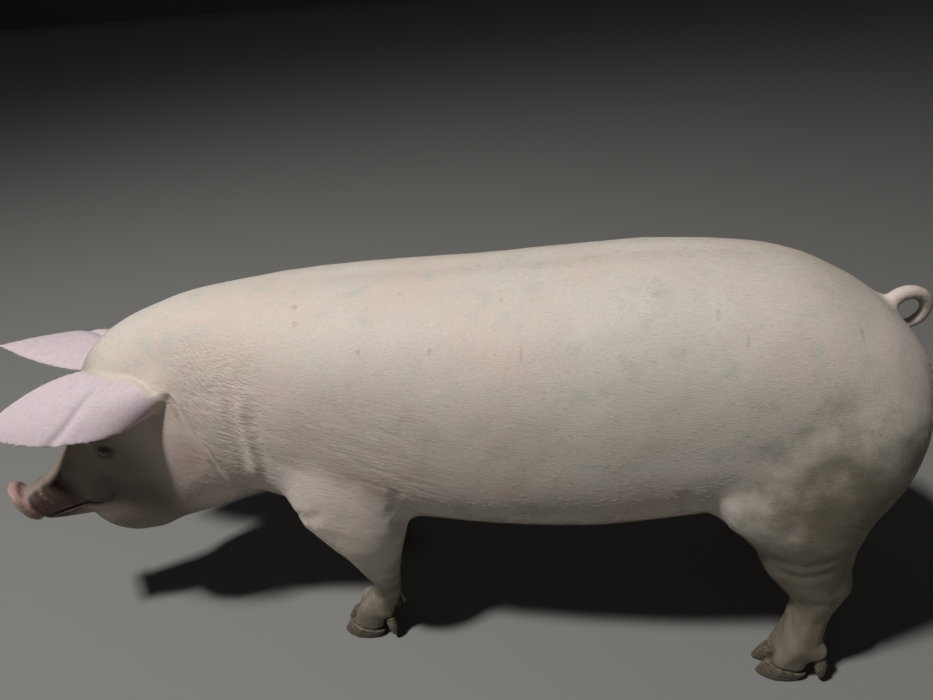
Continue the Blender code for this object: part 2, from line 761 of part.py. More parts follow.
def make_trunk(whole, group, cutters, flesh, head_out, leg_out, tail_hollows):
    fore = [leg_out["fore", "left"], leg_out["fore", "right"]]
    hind = [leg_out["hind", "left"], leg_out["hind", "right"]]
    neck = slab("neck_slab", -BEYOND, NECK_CUT, cutters)
    chest = slab("chest_slab", NECK_CUT, CHEST_CUT, cutters)
    barrel = slab("barrel_slab", CHEST_CUT, RUMP_CUT, cutters)
    rump = slab("rump_slab", RUMP_CUT, BEYOND, cutters)
    carve("neck", whole, [neck], [head_out], group, flesh)
    carve("trunk_chest", whole, [chest], fore + [head_out], group, flesh)
    carve("trunk_barrel", whole, [barrel], fore + hind, group, flesh)
    carve("trunk_rump", whole, [rump], hind + tail_hollows, group, flesh)


def shift_to_centre(groups):
    for group in groups:
        for thing in group.objects:
            thing.location += CENTRE_SHIFT


def main():
    pig, cutters = fresh_scene()
    flesh = surface("pig_skin", (0.62, 0.50, 0.42), 0.62)
    ear_skin = surface("ear_skin", (0.66, 0.48, 0.46), 0.55)
    snout_skin = surface("snout_skin", (0.52, 0.33, 0.28), 0.45)
    horn = surface("claw_horn", (0.16, 0.12, 0.08), 0.50)
    eye = surface("eye_wet", (0.03, 0.02, 0.015), 0.08)
    whole = blended_body(cutters)
    sockets = make_eyes(pig, cutters, eye)
    make_ears(whole, pig, cutters, ear_skin)
    snout_region = make_snout(pig, cutters, snout_skin)
    tail_hollows = make_tail(pig, cutters, flesh)
    leg_out = make_legs(whole, pig, cutters, flesh, horn)
    head_out = make_head(whole, pig, cutters, flesh, snout_region, sockets)
    make_trunk(whole, pig, cutters, flesh, head_out, leg_out, tail_hollows)
    shift_to_centre((pig, cutters))


main()
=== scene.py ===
# %% [markdown]
# A life-size pig, standing on its four feet with its head lowered and turned a
# little to its left.  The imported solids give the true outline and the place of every
# part.  This lesson dresses them: one unbroken skin over all the flesh, with its
# folds and lids, then a coat of short bristles, the claws and the eyes.

# %% Load the solids
import math

import bmesh
import bpy
import numpy as np
from mathutils import Matrix, Vector
from mathutils.bvhtree import BVHTree
from mathutils.kdtree import KDTree


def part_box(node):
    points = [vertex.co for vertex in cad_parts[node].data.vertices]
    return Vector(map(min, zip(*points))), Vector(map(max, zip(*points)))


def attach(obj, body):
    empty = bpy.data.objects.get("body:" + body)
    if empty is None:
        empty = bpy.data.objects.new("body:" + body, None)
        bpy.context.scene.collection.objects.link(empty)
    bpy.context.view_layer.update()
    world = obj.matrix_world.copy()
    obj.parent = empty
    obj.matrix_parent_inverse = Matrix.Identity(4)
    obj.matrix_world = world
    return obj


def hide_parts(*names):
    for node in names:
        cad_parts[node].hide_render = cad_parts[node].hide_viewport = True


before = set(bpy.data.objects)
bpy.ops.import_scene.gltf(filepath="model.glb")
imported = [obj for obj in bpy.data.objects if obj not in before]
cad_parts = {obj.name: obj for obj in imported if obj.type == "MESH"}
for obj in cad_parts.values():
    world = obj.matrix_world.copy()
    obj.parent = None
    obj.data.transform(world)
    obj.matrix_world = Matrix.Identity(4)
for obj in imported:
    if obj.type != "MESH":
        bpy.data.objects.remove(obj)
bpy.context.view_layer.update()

# %% [markdown]
# The camera stands on the pig's left, above its back, as a person does who looks over
# the wall of a pen.  It is made first, so that every later picture is taken from it.

# %% Camera
VIEW_AIM = Vector((0.0702, 0.0003, 0.557))
VIEW_DISTANCE = 1.167
VIEW_YAW = 9.0
VIEW_PITCH = 28.5
VIEW_ROLL = -5.0
VIEW_LENS = 27.09


def make_camera():
    """A camera that looks at VIEW_AIM from VIEW_DISTANCE away."""
    yaw, pitch = math.radians(VIEW_YAW), math.radians(VIEW_PITCH)
    back = Vector((math.sin(yaw) * math.cos(pitch), -math.cos(yaw) * math.cos(pitch),
                   math.sin(pitch)))
    data = bpy.data.cameras.new("view")
    data.lens = VIEW_LENS
    data.sensor_width = 36.0
    data.sensor_fit = "HORIZONTAL"
    camera = bpy.data.objects.new("view", data)
    bpy.context.collection.objects.link(camera)
    level = back.to_track_quat("Z", "Y").to_matrix().to_4x4()
    roll = Matrix.Rotation(math.radians(VIEW_ROLL), 4, "Z")
    camera.matrix_world = Matrix.Translation(VIEW_AIM + back * VIEW_DISTANCE) @ level @ roll
    bpy.context.scene.camera = camera
    return camera


view_camera = make_camera()
print("camera at", tuple(round(v, 3) for v in view_camera.matrix_world.translation))

# %% [markdown]
# A wide plain floor, turned up at its far edges, and one lamp high above the pig: its
# back is bright, its flank falls off softly, and the belly and the face under the ears
# stay in shade.  A faint second lamp and a dim sky fill the shade.

# %% Floor and light
FLOOR_SIZE = 80.0
FLOOR_RIM = 12.0
FLOOR_COLOUR = (0.240, 0.233, 0.216)
KEY_PLACE = (-1.75, -1.68, 5.1)
KEY_SIZE = 0.45
KEY_POWER = 250.0
FILL_PLACE = (-2.4, -3.0, 1.2)
FILL_SIZE = 2.4
FILL_POWER = 0.5
SKY_STRENGTH = 0.034


def plain_material(name, colour, roughness):
    material = bpy.data.materials.new(name)
    material.use_nodes = True
    shader = material.node_tree.nodes["Principled BSDF"]
    shader.inputs["Base Color"].default_value = (*colour, 1.0)
    shader.inputs["Roughness"].default_value = roughness
    return material


def make_lamp(name, place, aim, size, power):
    """A square area lamp turned to a point."""
    data = bpy.data.lights.new(name, "AREA")
    data.size = size
    data.energy = power
    lamp = bpy.data.objects.new(name, data)
    bpy.context.collection.objects.link(lamp)
    lamp.location = place
    lamp.rotation_euler = (Vector(aim) - Vector(place)).to_track_quat("-Z", "Y").to_euler()


bpy.ops.object.select_all(action="DESELECT")
bpy.ops.mesh.primitive_plane_add(size=FLOOR_SIZE, location=(0.0, 0.0, -0.001))
floor = bpy.context.active_object
floor.name = "floor"
sheet = bmesh.new()
sheet.from_mesh(floor.data)
edge = bmesh.ops.extrude_edge_only(sheet, edges=sheet.edges[:])["geom"]
for corner in (part for part in edge if isinstance(part, bmesh.types.BMVert)):
    corner.co.z += FLOOR_RIM
sheet.to_mesh(floor.data)
sheet.free()
floor.data.materials.append(plain_material("floor_paint", FLOOR_COLOUR, 0.9))
make_lamp("key", KEY_PLACE, (0.0, 0.0, 0.5), KEY_SIZE, KEY_POWER)
make_lamp("fill", FILL_PLACE, (0.0, 0.0, 0.4), FILL_SIZE, FILL_POWER)
sky = bpy.data.worlds.new("studio")
sky.use_nodes = True
sky.node_tree.nodes["Background"].inputs["Color"].default_value = (0.96, 0.97, 1.0, 1.0)
sky.node_tree.nodes["Background"].inputs["Strength"].default_value = SKY_STRENGTH
bpy.context.scene.world = sky
bpy.context.scene.view_settings.view_transform = "Standard"

# %% [markdown]
# The solids of flesh are copied, swelled by a hair's breadth so that their thin cuts
# close, and run together by a voxel remesh.  That gives one skin with no seam, which
# can then be worked like clay.

# %% Names of the parts of flesh
SIDES = (("left", -1), ("right", 1))
EARS = ["ear_left", "ear_right"]
TAIL = ["tail_1", "tail_2", "tail_3"]
TRUNK = ["trunk_chest", "trunk_barrel", "trunk_rump"]
LEGS = [f"{pair}leg_{side}" for pair in ("fore", "hind") for side, _ in SIDES]
FEET = [f"{pair}foot_{side}" for pair in ("fore", "hind") for side, _ in SIDES]
BODY = TRUNK + LEGS + FEET + TAIL + ["neck", "head", "lower_jaw", "snout_disc"]
TOES = [f"{pair}_{side}_{place}" for pair in ("fore", "hind")
        for side, _ in SIDES for place in ("outer", "inner")]
print("nodes of flesh:", len(BODY + EARS))


# %% Small helpers for meshes
def deselect_all():
    bpy.ops.object.select_all(action="DESELECT")


def make_active(piece):
    deselect_all()
    piece.select_set(True)
    bpy.context.view_layer.objects.active = piece


def apply_all(piece):
    make_active(piece)
    for modifier in list(piece.modifiers):
        bpy.ops.object.modifier_apply(modifier=modifier.name)


def read_points(piece):
    flat = np.empty(len(piece.data.vertices) * 3, dtype=np.float32)
    piece.data.vertices.foreach_get("co", flat)
    return flat.reshape(-1, 3).astype(float)


def read_normals(piece):
    flat = np.empty(len(piece.data.vertices) * 3, dtype=np.float32)
    piece.data.vertex_normals.foreach_get("vector", flat)
    return flat.reshape(-1, 3).astype(float)


def write_points(piece, points):
    piece.data.vertices.foreach_set("co", points.astype(np.float32).ravel())
    piece.data.update()


def read_edges(piece):
    flat = np.empty(len(piece.data.edges) * 2, dtype=np.int32)
    piece.data.edges.foreach_get("vertices", flat)
    return flat.reshape(-1, 2)


def triangles_of(piece):
    piece.data.calc_loop_triangles()
    flat = np.empty(len(piece.data.loop_triangles) * 3, dtype=np.int32)
    piece.data.loop_triangles.foreach_get("vertices", flat)
    return flat.reshape(-1, 3)


def joined_copy(names, label):
    """Copies of CAD nodes, joined and merged into one object of their own."""
    deselect_all()
    for name in names:
        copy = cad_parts[name].copy()
        copy.data = copy.data.copy()
        copy.parent = None
        copy.matrix_world = Matrix.Identity(4)
        bpy.context.collection.objects.link(copy)
        copy.select_set(True)
        bpy.context.view_layer.objects.active = copy
    bpy.ops.object.join()
    piece = bpy.context.view_layer.objects.active
    piece.name = label
    piece.data.name = label
    bpy.ops.object.mode_set(mode="EDIT")
    bpy.ops.mesh.select_all(action="SELECT")
    bpy.ops.mesh.remove_doubles(threshold=0.00001)
    bpy.ops.object.mode_set(mode="OBJECT")
    piece.data.materials.clear()
    return piece


# %% Run the flesh together
SKIN_GRID = 0.0036
SWELL = 0.0006


def remesh(piece, grid):
    blend = piece.modifiers.new("blend", "REMESH")
    blend.mode = "VOXEL"
    blend.voxel_size = grid
    apply_all(piece)


skin = joined_copy(BODY + ["eye_left", "eye_right"], "skin")
swell = skin.modifiers.new("swell", "DISPLACE")
swell.strength = SWELL
swell.mid_level = 0.0
remesh(skin, SKIN_GRID)
print("skin:", len(skin.data.vertices), "points")

# %% [markdown]
# The head is lowered and turned, so its features are placed in a frame of its own:
# forward is -X, the pig's left is -Y, and the origin is the poll, between the ears.

# %% Frame of the head
POLL = Vector((-0.5258, -0.0477, 0.617))
HEAD_TURN = 20.0
HEAD_DROP = 24.0
HEAD = (Matrix.Translation(POLL) @ Matrix.Rotation(math.radians(HEAD_TURN), 4, "Z")
        @ Matrix.Rotation(math.radians(-HEAD_DROP), 4, "Y"))
TO_HEAD = HEAD.inverted()


def in_frame(points, matrix):
    """Points seen in another frame."""
    turned = points @ np.array(matrix.to_3x3()).T
    return turned + np.array(matrix.translation)


eye_middle = (sum(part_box("eye_left"), Vector()) + sum(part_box("eye_right"), Vector())) / 4
print("eyes' middle in the head frame:", tuple(round(v, 3) for v in TO_HEAD @ eye_middle))

# %% [markdown]
# The solids are faceted.  The skin is smoothed widely over the trunk, where the facets
# are wide, and hardly at all on the snout, tail and feet.  Plain smoothing shrinks a
# form, so what the first smoothing took away is itself smoothed and given back.

# %% How widely each part is smoothed
SMOOTH_WIDTH = {"trunk": 0.032, "neck": 0.026, "head": 0.011, "lower_jaw": 0.013,
                "leg": 0.014, "foot": 0.0060, "snout": 0.0035, "tail": 0.0035}
CHEEK_WIDTH = 0.024


def part_of(name):
    for part in ("trunk", "leg", "foot", "tail", "snout"):
        if part in name:
            return part
    return name


def nearest_nodes(points, names):
    """For each point, the index in names of the CAD node that lies nearest."""
    corners, faces, owners = [], [], []
    for index, name in enumerate(names):
        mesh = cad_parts[name].data
        start = len(corners)
        corners += [vert.co.copy() for vert in mesh.vertices]
        for face in mesh.polygons:
            faces.append([start + corner for corner in face.vertices])
            owners.append(index)
    tree = BVHTree.FromPolygons(corners, faces)
    return np.array([owners[tree.find_nearest(point)[2]] for point in points])


def spread(values, edges, passes):
    """Evens out numbers over the mesh by averaging each with its neighbours."""
    count = np.bincount(edges.ravel(), minlength=len(values))
    for _ in range(passes):
        total = np.bincount(edges[:, 0], weights=values[edges[:, 1]], minlength=len(values))
        total += np.bincount(edges[:, 1], weights=values[edges[:, 0]], minlength=len(values))
        values = 0.5 * values + 0.5 * total / np.maximum(count, 1)
    return values


def set_group(piece, name, weights):
    """Writes a vertex group from numbers, in a hundred steps."""
    group = piece.vertex_groups.new(name=name)
    steps = np.round(np.clip(weights, 0.0, 1.0) * 100).astype(int)
    for step in np.unique(steps):
        if step:
            group.add(np.nonzero(steps == step)[0].tolist(), step / 100, "REPLACE")


def smooth(piece, passes, group=""):
    ease = piece.modifiers.new("ease", "SMOOTH")
    ease.factor = 0.5
    ease.iterations = passes
    ease.vertex_group = group
    apply_all(piece)


def smooth_kept(piece, passes, group=""):
    """Smooths, then gives back what was lost of the larger form."""
    before = read_points(piece)
    smooth(piece, passes, group)
    once = read_points(piece)
    write_points(piece, before - once)
    smooth(piece, passes, group)
    write_points(piece, once + read_points(piece))


widest = max(SMOOTH_WIDTH.values())
points = read_points(skin)
owner = nearest_nodes(points, BODY)
widths = np.array([SMOOTH_WIDTH[part_of(name)] for name in BODY])[owner]
ahead = -in_frame(points, TO_HEAD)[:, 0]
on_head = owner == BODY.index("head")
cheek = np.clip((0.16 - ahead) / 0.10, 0.0, 1.0)
widths[on_head] += (CHEEK_WIDTH - SMOOTH_WIDTH["head"]) * cheek[on_head]
weights = spread((widths / widest) ** 2, read_edges(skin), 30)
set_group(skin, "wide", weights)
WIDE_PASSES = int((widest / SKIN_GRID) ** 2 * 4)
smooth_kept(skin, WIDE_PASSES, "wide")
print("smoothing passes:", WIDE_PASSES)

# %% [markdown]
# A pig's ear is a leaf of skin about as thick as a finger's skin fold, rolled up at its
# root and spread flat toward its tip.  The leaf is laid out as a grid, given its
# thickness with Solidify, and run into the head by a second remesh.

# %% Ears
EAR_ROOT = {"left": (0.0756, 0.1251, -0.0860), "right": (0.0555, 0.1006, -0.1076)}
EAR_POSE = {"left": (20.04, 4.55, 36.62), "right": (14.9, 6.84, -12.11)}
EAR_LENGTH = 0.3248
EAR_HALF_WIDTH = 0.0686
EAR_ROOT_SHARE = 0.45
EAR_WIDEST = 0.362
EAR_TAPER = 2.14
EAR_ROLL = 217.9
EAR_TIP_ROLL = 50.0
EAR_UNROLL = 4.5
EAR_SAG = {"left": 0.1058, "right": 0.0006}
EAR_THICK = 0.0046
EAR_GRID = 0.0028
EAR_ROWS = 90
EAR_COLUMNS = 50
EAR_REACH = 0.16
EAR_SURFACE = 0.0065
SKULL_SURFACE = 0.009
# Folds in the leaf: start and end (along and across), width and depth.
EAR_FOLDS = (((0.38, 0.10), (0.50, -0.55), 0.0060, 0.0050),
             ((0.50, -0.55), (0.60, -1.00), 0.0060, 0.0050),
             ((0.19, 0.60), (0.08, -0.15), 0.0050, 0.0045))


def ear_frame(label, side):
    """Ear frame: -X to the tip, Y across, +Z the back of the ear."""
    heading, rise, turned_down = EAR_POSE[label]
    back, aside, up = EAR_ROOT[label]
    root = HEAD @ Vector((back, side * aside, up))
    return (Matrix.Translation(root) @ Matrix.Rotation(math.radians(heading), 4, "Z")
            @ Matrix.Rotation(math.radians(rise), 4, "Y")
            @ Matrix.Rotation(-side * math.radians(turned_down), 4, "X"))


def ear_half_width(along):
    """Half the width of the ear from its root (0) to its pointed tip (1)."""
    if along < EAR_WIDEST:
        swell = math.sin(math.pi / 2 * along / EAR_WIDEST)
        return EAR_HALF_WIDTH * (EAR_ROOT_SHARE + (1 - EAR_ROOT_SHARE) * swell)
    taper = (along - EAR_WIDEST) / (1 - EAR_WIDEST)
    return EAR_HALF_WIDTH * max(0.07, 1 - taper ** EAR_TAPER)


def ear_fold(along, across):
    """How deep the folds of the leaf sink at a place on it."""
    deepest = 0.0
    size = np.array((EAR_LENGTH, EAR_HALF_WIDTH))
    here = np.array((along, across)) * size
    for start, end, width, depth in EAR_FOLDS:
        start, end = start * size, end * size
        run = end - start
        share = min(1.0, max(0.0, (here - start) @ run / (run @ run)))
        apart = math.dist(here, start + run * share)
        deepest = max(deepest, depth * math.exp(-(apart / width) ** 2))
    return deepest


def ear_place(label, along, across):
    """A point of the leaf in the ear frame; across runs from -1 to 1."""
    roll = math.radians(EAR_ROLL * (1 - along) ** EAR_UNROLL + EAR_TIP_ROLL)
    radius = 2 * ear_half_width(along) / roll
    angle = roll * across / 2
    outward = across if label == "left" else -across
    lift = radius * (math.cos(angle) - 1) - EAR_SAG[label] * along ** 2
    lift -= ear_fold(along, outward)
    return Vector((-along * EAR_LENGTH, radius * math.sin(angle), lift))


def make_ear(label, side):
    bpy.ops.mesh.primitive_grid_add(x_subdivisions=EAR_ROWS, y_subdivisions=EAR_COLUMNS,
                                    size=2.0)
    ear = bpy.context.active_object
    ear.name = f"ear_leaf_{label}"
    place = ear_frame(label, side)
    for vert in ear.data.vertices:
        vert.co = place @ ear_place(label, (vert.co.x + 1) / 2, vert.co.y)
    shell = ear.modifiers.new("shell", "SOLIDIFY")
    shell.thickness = EAR_THICK
    shell.offset = 0.0
    apply_all(ear)
    return ear


leaves = [make_ear(label, side) for label, side in SIDES]
deselect_all()
for leaf in leaves:
    leaf.select_set(True)
skin.select_set(True)
bpy.context.view_layer.objects.active = skin
bpy.ops.object.join()
skin.vertex_groups.clear()
remesh(skin, EAR_GRID)
smooth_kept(skin, 3)
print("skin with ears:", len(skin.data.vertices), "points")


# %% Where on an ear each point lies
def ear_places(points):
    """For each point: its distance to the nearer ear leaf, how far along that leaf from
    the root (0) to the tip (1), and how far across it (-1 to 1, 1 the outer edge)."""
    shares = [(along, across) for along in np.linspace(0, 1, 70)
              for across in np.linspace(-1, 1, 50)]
    tree = KDTree(2 * len(shares))
    for which, (label, side) in enumerate(SIDES):
        place = ear_frame(label, side)
        for index, (along, across) in enumerate(shares):
            tree.insert(place @ ear_place(label, along, across), which * len(shares) + index)
    tree.balance()
    apart = np.full(len(points), 1.0)
    found = np.zeros((len(points), 2))
    side_of = np.zeros(len(points))
    for index in np.nonzero(points[:, 0] < POLL.x + EAR_REACH)[0]:
        _, which, apart[index] = tree.find(points[index])
        found[index] = shares[which % len(shares)]
        side_of[index] = -1 if which < len(shares) else 1
    return apart, found[:, 0], found[:, 1] * side_of


def ear_cover(points):
    """1 on the free part of an ear, 0 elsewhere, with the place along and across."""
    apart, along, across = ear_places(points)
    on_leaf = (apart < EAR_SURFACE) & (points[:, 0] < POLL.x + EAR_REACH)
    skull = BVHTree.FromObject(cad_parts["head"], bpy.context.evaluated_depsgraph_get())
    for index in np.nonzero(on_leaf)[0]:
        if skull.find_nearest(points[index])[3] < SKULL_SURFACE:
            on_leaf[index] = False
    return on_leaf.astype(float), along, across


points = read_points(skin)
on_ear, ear_along, ear_across = ear_cover(points)
set_group(skin, "ear", spread(on_ear, read_edges(skin), 3))
smooth_kept(skin, 20, "ear")
print("points on the ears:", int(on_ear.sum()))


# %% Keep the outermost piece
def keep_largest(piece):
    """Deletes every island of the mesh but the largest."""
    edges = read_edges(piece)
    label = np.arange(len(piece.data.vertices))
    while True:
        low = np.minimum(label[edges[:, 0]], label[edges[:, 1]])
        after = label.copy()
        np.minimum.at(after, edges[:, 0], low)
        np.minimum.at(after, edges[:, 1], low)
        after = after[after]
        if (after == label).all():
            break
        label = after
    names, sizes = np.unique(label, return_counts=True)
    drop = np.nonzero(label != names[np.argmax(sizes)])[0]
    mesh = bmesh.new()
    mesh.from_mesh(piece.data)
    mesh.verts.ensure_lookup_table()
    bmesh.ops.delete(mesh, geom=[mesh.verts[index] for index in drop], context="VERTS")
    mesh.to_mesh(piece.data)
    mesh.free()
    return len(names)


print("islands:", keep_largest(skin))

# %% [markdown]
# Folds, lids and lips are worked into the skin as a sculptor would: a path is laid on
# the skin, and the points near it sink into a furrow or rise into a ridge.  Where the
# form is fine, the mesh is divided first.

# %% Reach the skin
def skin_tree():
    """The skin's faces, for finding where a line meets it."""
    points = [vert.co.copy() for vert in skin.data.vertices]
    return BVHTree.FromPolygons(points, [face.vertices[:] for face in skin.data.polygons])


PATH_STEP = 0.0015


def curve_through(places):
    """Even points on a smooth curve through a few places (Catmull-Rom)."""
    table = np.array(places, dtype=float)
    padded = np.vstack((2 * table[0] - table[1], table, 2 * table[-1] - table[-2]))
    dense = []
    for index in range(len(table) - 1):
        before, start, end, after = padded[index:index + 4]
        count = max(2, int(np.linalg.norm(end - start) / PATH_STEP))
        for t in np.arange(count) / count:
            dense.append(0.5 * (2 * start + (end - before) * t
                                + (2 * before - 5 * start + 4 * end - after) * t ** 2
                                + (3 * start - before - 3 * end + after) * t ** 3))
    dense.append(table[-1])
    return np.array(dense)


def cast(tree, start, direction):
    return tree.ray_cast(Vector(start), Vector(direction).normalized())[0]


def cast_path(tree, starts, direction):
    """Where lines from the starts, all in one direction, meet the skin."""
    hits = [cast(tree, start, direction) for start in starts]
    return np.array([hit for hit in hits if hit is not None])


def side_path(tree, places, side):
    """A path on the flank, from (x, z) places seen from one side."""
    return cast_path(tree, [(x, side * 0.8, z) for x, z in curve_through(places)],
                     (0.0, -side, 0.0))


def head_path(tree, places, side):
    """A path on the side of the head, from (ahead, up) places in the head frame."""
    return cast_path(tree, [HEAD @ Vector((-ahead, side * 0.4, up))
                            for ahead, up in curve_through(places)],
                     HEAD.to_3x3() @ Vector((0.0, -side, 0.0)))


def top_path(tree, places):
    """A path on the back, from (x, y) places seen from above."""
    return cast_path(tree, [(x, y, 1.2) for x, y in curve_through(places)],
                     (0.0, 0.0, -1.0))


def smoothstep(low, high, values):
    part = np.clip((values - low) / (high - low), 0.0, 1.0)
    return part * part * (3.0 - 2.0 * part)


# %% Working tools
def path_distance(points, path, reach):
    """Distance to a path and how far along it the nearest place lies (0 to 1)."""
    distance = np.full(len(points), np.inf)
    along = np.zeros(len(points))
    box = ((points > path.min(axis=0) - reach) & (points < path.max(axis=0) + reach)).all(axis=1)
    near = np.nonzero(box)[0]
    for start in range(0, len(near), 20000):
        some = near[start:start + 20000]
        apart = np.linalg.norm(points[some, None, :] - path[None, :, :], axis=2)
        best = apart.argmin(axis=1)
        distance[some] = apart[np.arange(len(some)), best]
        along[some] = best / max(1, len(path) - 1)
    return distance, along


def crease(points, normals, path, width, depth, lip=0.4, fade=0.2):
    """A furrow of some depth along a path, with a soft lip on both sides of it.
    A negative depth makes a ridge.  Both ends fade out."""
    distance, along = path_distance(points, path, 4 * width)
    ends = smoothstep(0.0, fade, along) * smoothstep(0.0, fade, 1.0 - along)
    shape = -np.exp(-(distance / width) ** 2)
    shape += lip * np.exp(-((distance - 1.9 * width) / width) ** 2)
    amount = np.where(np.isfinite(distance), shape * depth * ends, 0.0)
    points += normals * amount[:, None]


def raise_at(points, normals, place, radii, amount):
    """A soft rise (or, with a negative amount, a dimple) round a place."""
    apart = points - np.array(place)
    share = np.exp(-((apart / np.array(radii)) ** 2).sum(axis=1))
    points += normals * (amount * share)[:, None]


def cloud(points, size, seed=0):
    """Smooth random values between -1 and 1, one for each point; size is the grain."""
    place = points / size
    corner = np.floor(place).astype(np.int64)
    part = place - corner
    part = part * part * (3.0 - 2.0 * part)
    total = np.zeros(len(points))
    for step in np.ndindex(2, 2, 2):
        cell = corner + np.array(step)
        key = cell[:, 0] * 73856093 ^ cell[:, 1] * 19349663 ^ cell[:, 2] * 83492791
        key = (key + seed * 6151) & 0x7FFFFFFF
        key = (key ^ (key >> 13)) * 1274126177 & 0x7FFFFFFF
        value = ((key ^ (key >> 16)) & 0xFFFF) / 32767.5 - 1.0
        total += value * np.prod(np.where(step, part, 1.0 - part), axis=1)
    return total


def wrinkles(points, normals, mask, lie, spacing, length, depth, seed):
    """Many short furrows that run along the direction lie, each about spacing apart."""
    lie = np.array(lie) / np.linalg.norm(lie)
    along = points @ lie
    across = points - along[:, None] * lie
    stretched = across / spacing + (along / length)[:, None] * lie
    furrow = 1.0 - np.minimum(1.0, np.abs(cloud(stretched, 1.0, seed)) * 3.0)
    points -= normals * (mask * depth * furrow)[:, None]


# %% Divide the mesh where the form is fine
EYES = {label: np.array(sum(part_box(f"eye_{label}"), Vector()) / 2) for label, _ in SIDES}
EYE_RADIUS = (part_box("eye_left")[1].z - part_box("eye_left")[0].z) / 2
SNOUT = (HEAD @ Matrix.Translation((-0.327, 0.0, -0.173))
         @ Matrix.Rotation(math.radians(18.0), 4, "Z"))
SNOUT_HALF = (0.043, 0.039)
DISC = np.array(SNOUT.translation)
NOSTRIL_PLACE = (0.0175, 0.002)


def divide_near(places, radius):
    """Cuts in two every edge of the faces that lie near any of the places."""
    points = read_points(skin)
    distance, _ = path_distance(points, np.array(places), radius)
    make_active(skin)
    bpy.ops.object.mode_set(mode="EDIT")
    bpy.ops.mesh.select_all(action="DESELECT")
    bpy.ops.object.mode_set(mode="OBJECT")
    skin.data.vertices.foreach_set("select", distance < radius)
    bpy.ops.object.mode_set(mode="EDIT")
    bpy.ops.mesh.select_mode(type="VERT")
    bpy.ops.mesh.subdivide(number_cuts=1)
    bpy.ops.object.mode_set(mode="OBJECT")


MOUTH = ((0.306, -0.203), (0.27, -0.209), (0.23, -0.215), (0.19, -0.217), (0.165, -0.215),
         (0.150, -0.210))
NECK_FOLD = ((-0.408, 0.580), (-0.397, 0.563), (-0.383, 0.540), (-0.374, 0.509),
             (-0.361, 0.481), (-0.350, 0.452), (-0.341, 0.416), (-0.332, 0.385))
tree = skin_tree()
mouth_paths = {label: head_path(tree, MOUTH, side) for label, side in SIDES}
eye_places = np.vstack(list(EYES.values()))
mouth_places = np.vstack(list(mouth_paths.values()))
nostrils = [np.array(SNOUT @ Vector((-0.008, side * NOSTRIL_PLACE[0], NOSTRIL_PLACE[1])))
            for _, side in SIDES]
for places, radius in ((eye_places, 0.034), (eye_places, 0.028), (mouth_places, 0.016),
                       (mouth_places, 0.010), ([DISC], 0.062), (nostrils, 0.013),
                       (side_path(tree, NECK_FOLD, -1), 0.012)):
    divide_near(places, radius)
smooth_kept(skin, 2)
tree = skin_tree()
print("skin divided:", len(skin.data.vertices), "points")

# %% [markdown]
# First the large folds of the body: where the neck folds behind the ear and in front of
# the shoulder, above the elbow, at the flank, over the hock and between the hams.

# %% Folds of the body
def even_normals(piece, passes):
    """Normals averaged with their neighbours', so that a fold is cut cleanly."""
    edges = read_edges(piece)
    mixed = np.stack([spread(part, edges, passes) for part in read_normals(piece).T], axis=1)
    return mixed / np.linalg.norm(mixed, axis=1)[:, None]


def ease_near(paths, radius, passes):
    """Evens out the skin along paths that were worked into it."""
    near = 1.0 - smoothstep(0.5 * radius, radius, np.minimum(
        radius, path_distance(read_points(skin), np.vstack(paths), radius)[0]))
    skin.vertex_groups.clear()
    set_group(skin, "worked", near)
    smooth_kept(skin, passes, "worked")


SHOULDER_RIDGE = ((-0.262, 0.575), (-0.267, 0.525), (-0.265, 0.490), (-0.267, 0.446),
                  (-0.278, 0.392))
ELBOW_FOLDS = (((-0.030, 0.420), (-0.036, 0.380), (-0.052, 0.345)),
               ((-0.012, 0.392), (-0.026, 0.352), (-0.050, 0.316)),
               ((-0.150, 0.372), (-0.190, 0.350), (-0.235, 0.342)))
FLANK_FOLDS = (((0.395, 0.430), (0.412, 0.385), (0.405, 0.335)),
               ((0.440, 0.405), (0.462, 0.360), (0.470, 0.318)),
               ((0.520, 0.425), (0.548, 0.385), (0.556, 0.340)))
HOCK_FOLDS = (((0.545, 0.268), (0.585, 0.262), (0.640, 0.282)),
              ((0.535, 0.300), (0.585, 0.290), (0.650, 0.318)),
              ((0.590, 0.196), (0.620, 0.190), (0.672, 0.200)))
LOIN_LINE = ((-0.28, -0.011), (0.0, -0.001), (0.3, 0.0), (0.58, 0.0003))
# Creases on both sides: their paths, width and depth.
CREASES = ((ELBOW_FOLDS, 0.009, 0.0015), (FLANK_FOLDS, 0.011, 0.0016),
           (HOCK_FOLDS, 0.008, 0.0008))
# The fold behind an ear is a furrow with a ridge set back from it; the right side, from
# which the head is turned away, is stretched and so folds less.
FOLDED = {"left": 1.0, "right": 0.45}
RIDGE_SHIFT = (0.0085, 0.0, 0.002)

points = read_points(skin)
normals = even_normals(skin, 8)
for label, side in SIDES:
    folded = FOLDED[label]
    fold = side_path(tree, NECK_FOLD, side)
    crease(points, normals, fold, 0.0050, 0.0030 * folded, 0.5, 0.22)
    crease(points, normals, fold + RIDGE_SHIFT, 0.0042, -0.0020 * folded, 0.2, 0.22)
    crease(points, normals, side_path(tree, SHOULDER_RIDGE, side), 0.011,
           -0.0034 * folded, 0.5)
    for folds, width, depth in CREASES:
        for fold in folds:
            crease(points, normals, side_path(tree, fold, side), width, depth)
crease(points, normals, top_path(tree, LOIN_LINE), 0.022, 0.0022, 0.3)
write_points(skin, points)
ease_near([side_path(tree, NECK_FOLD, -1)], 0.022, 3)
print("body folds done")

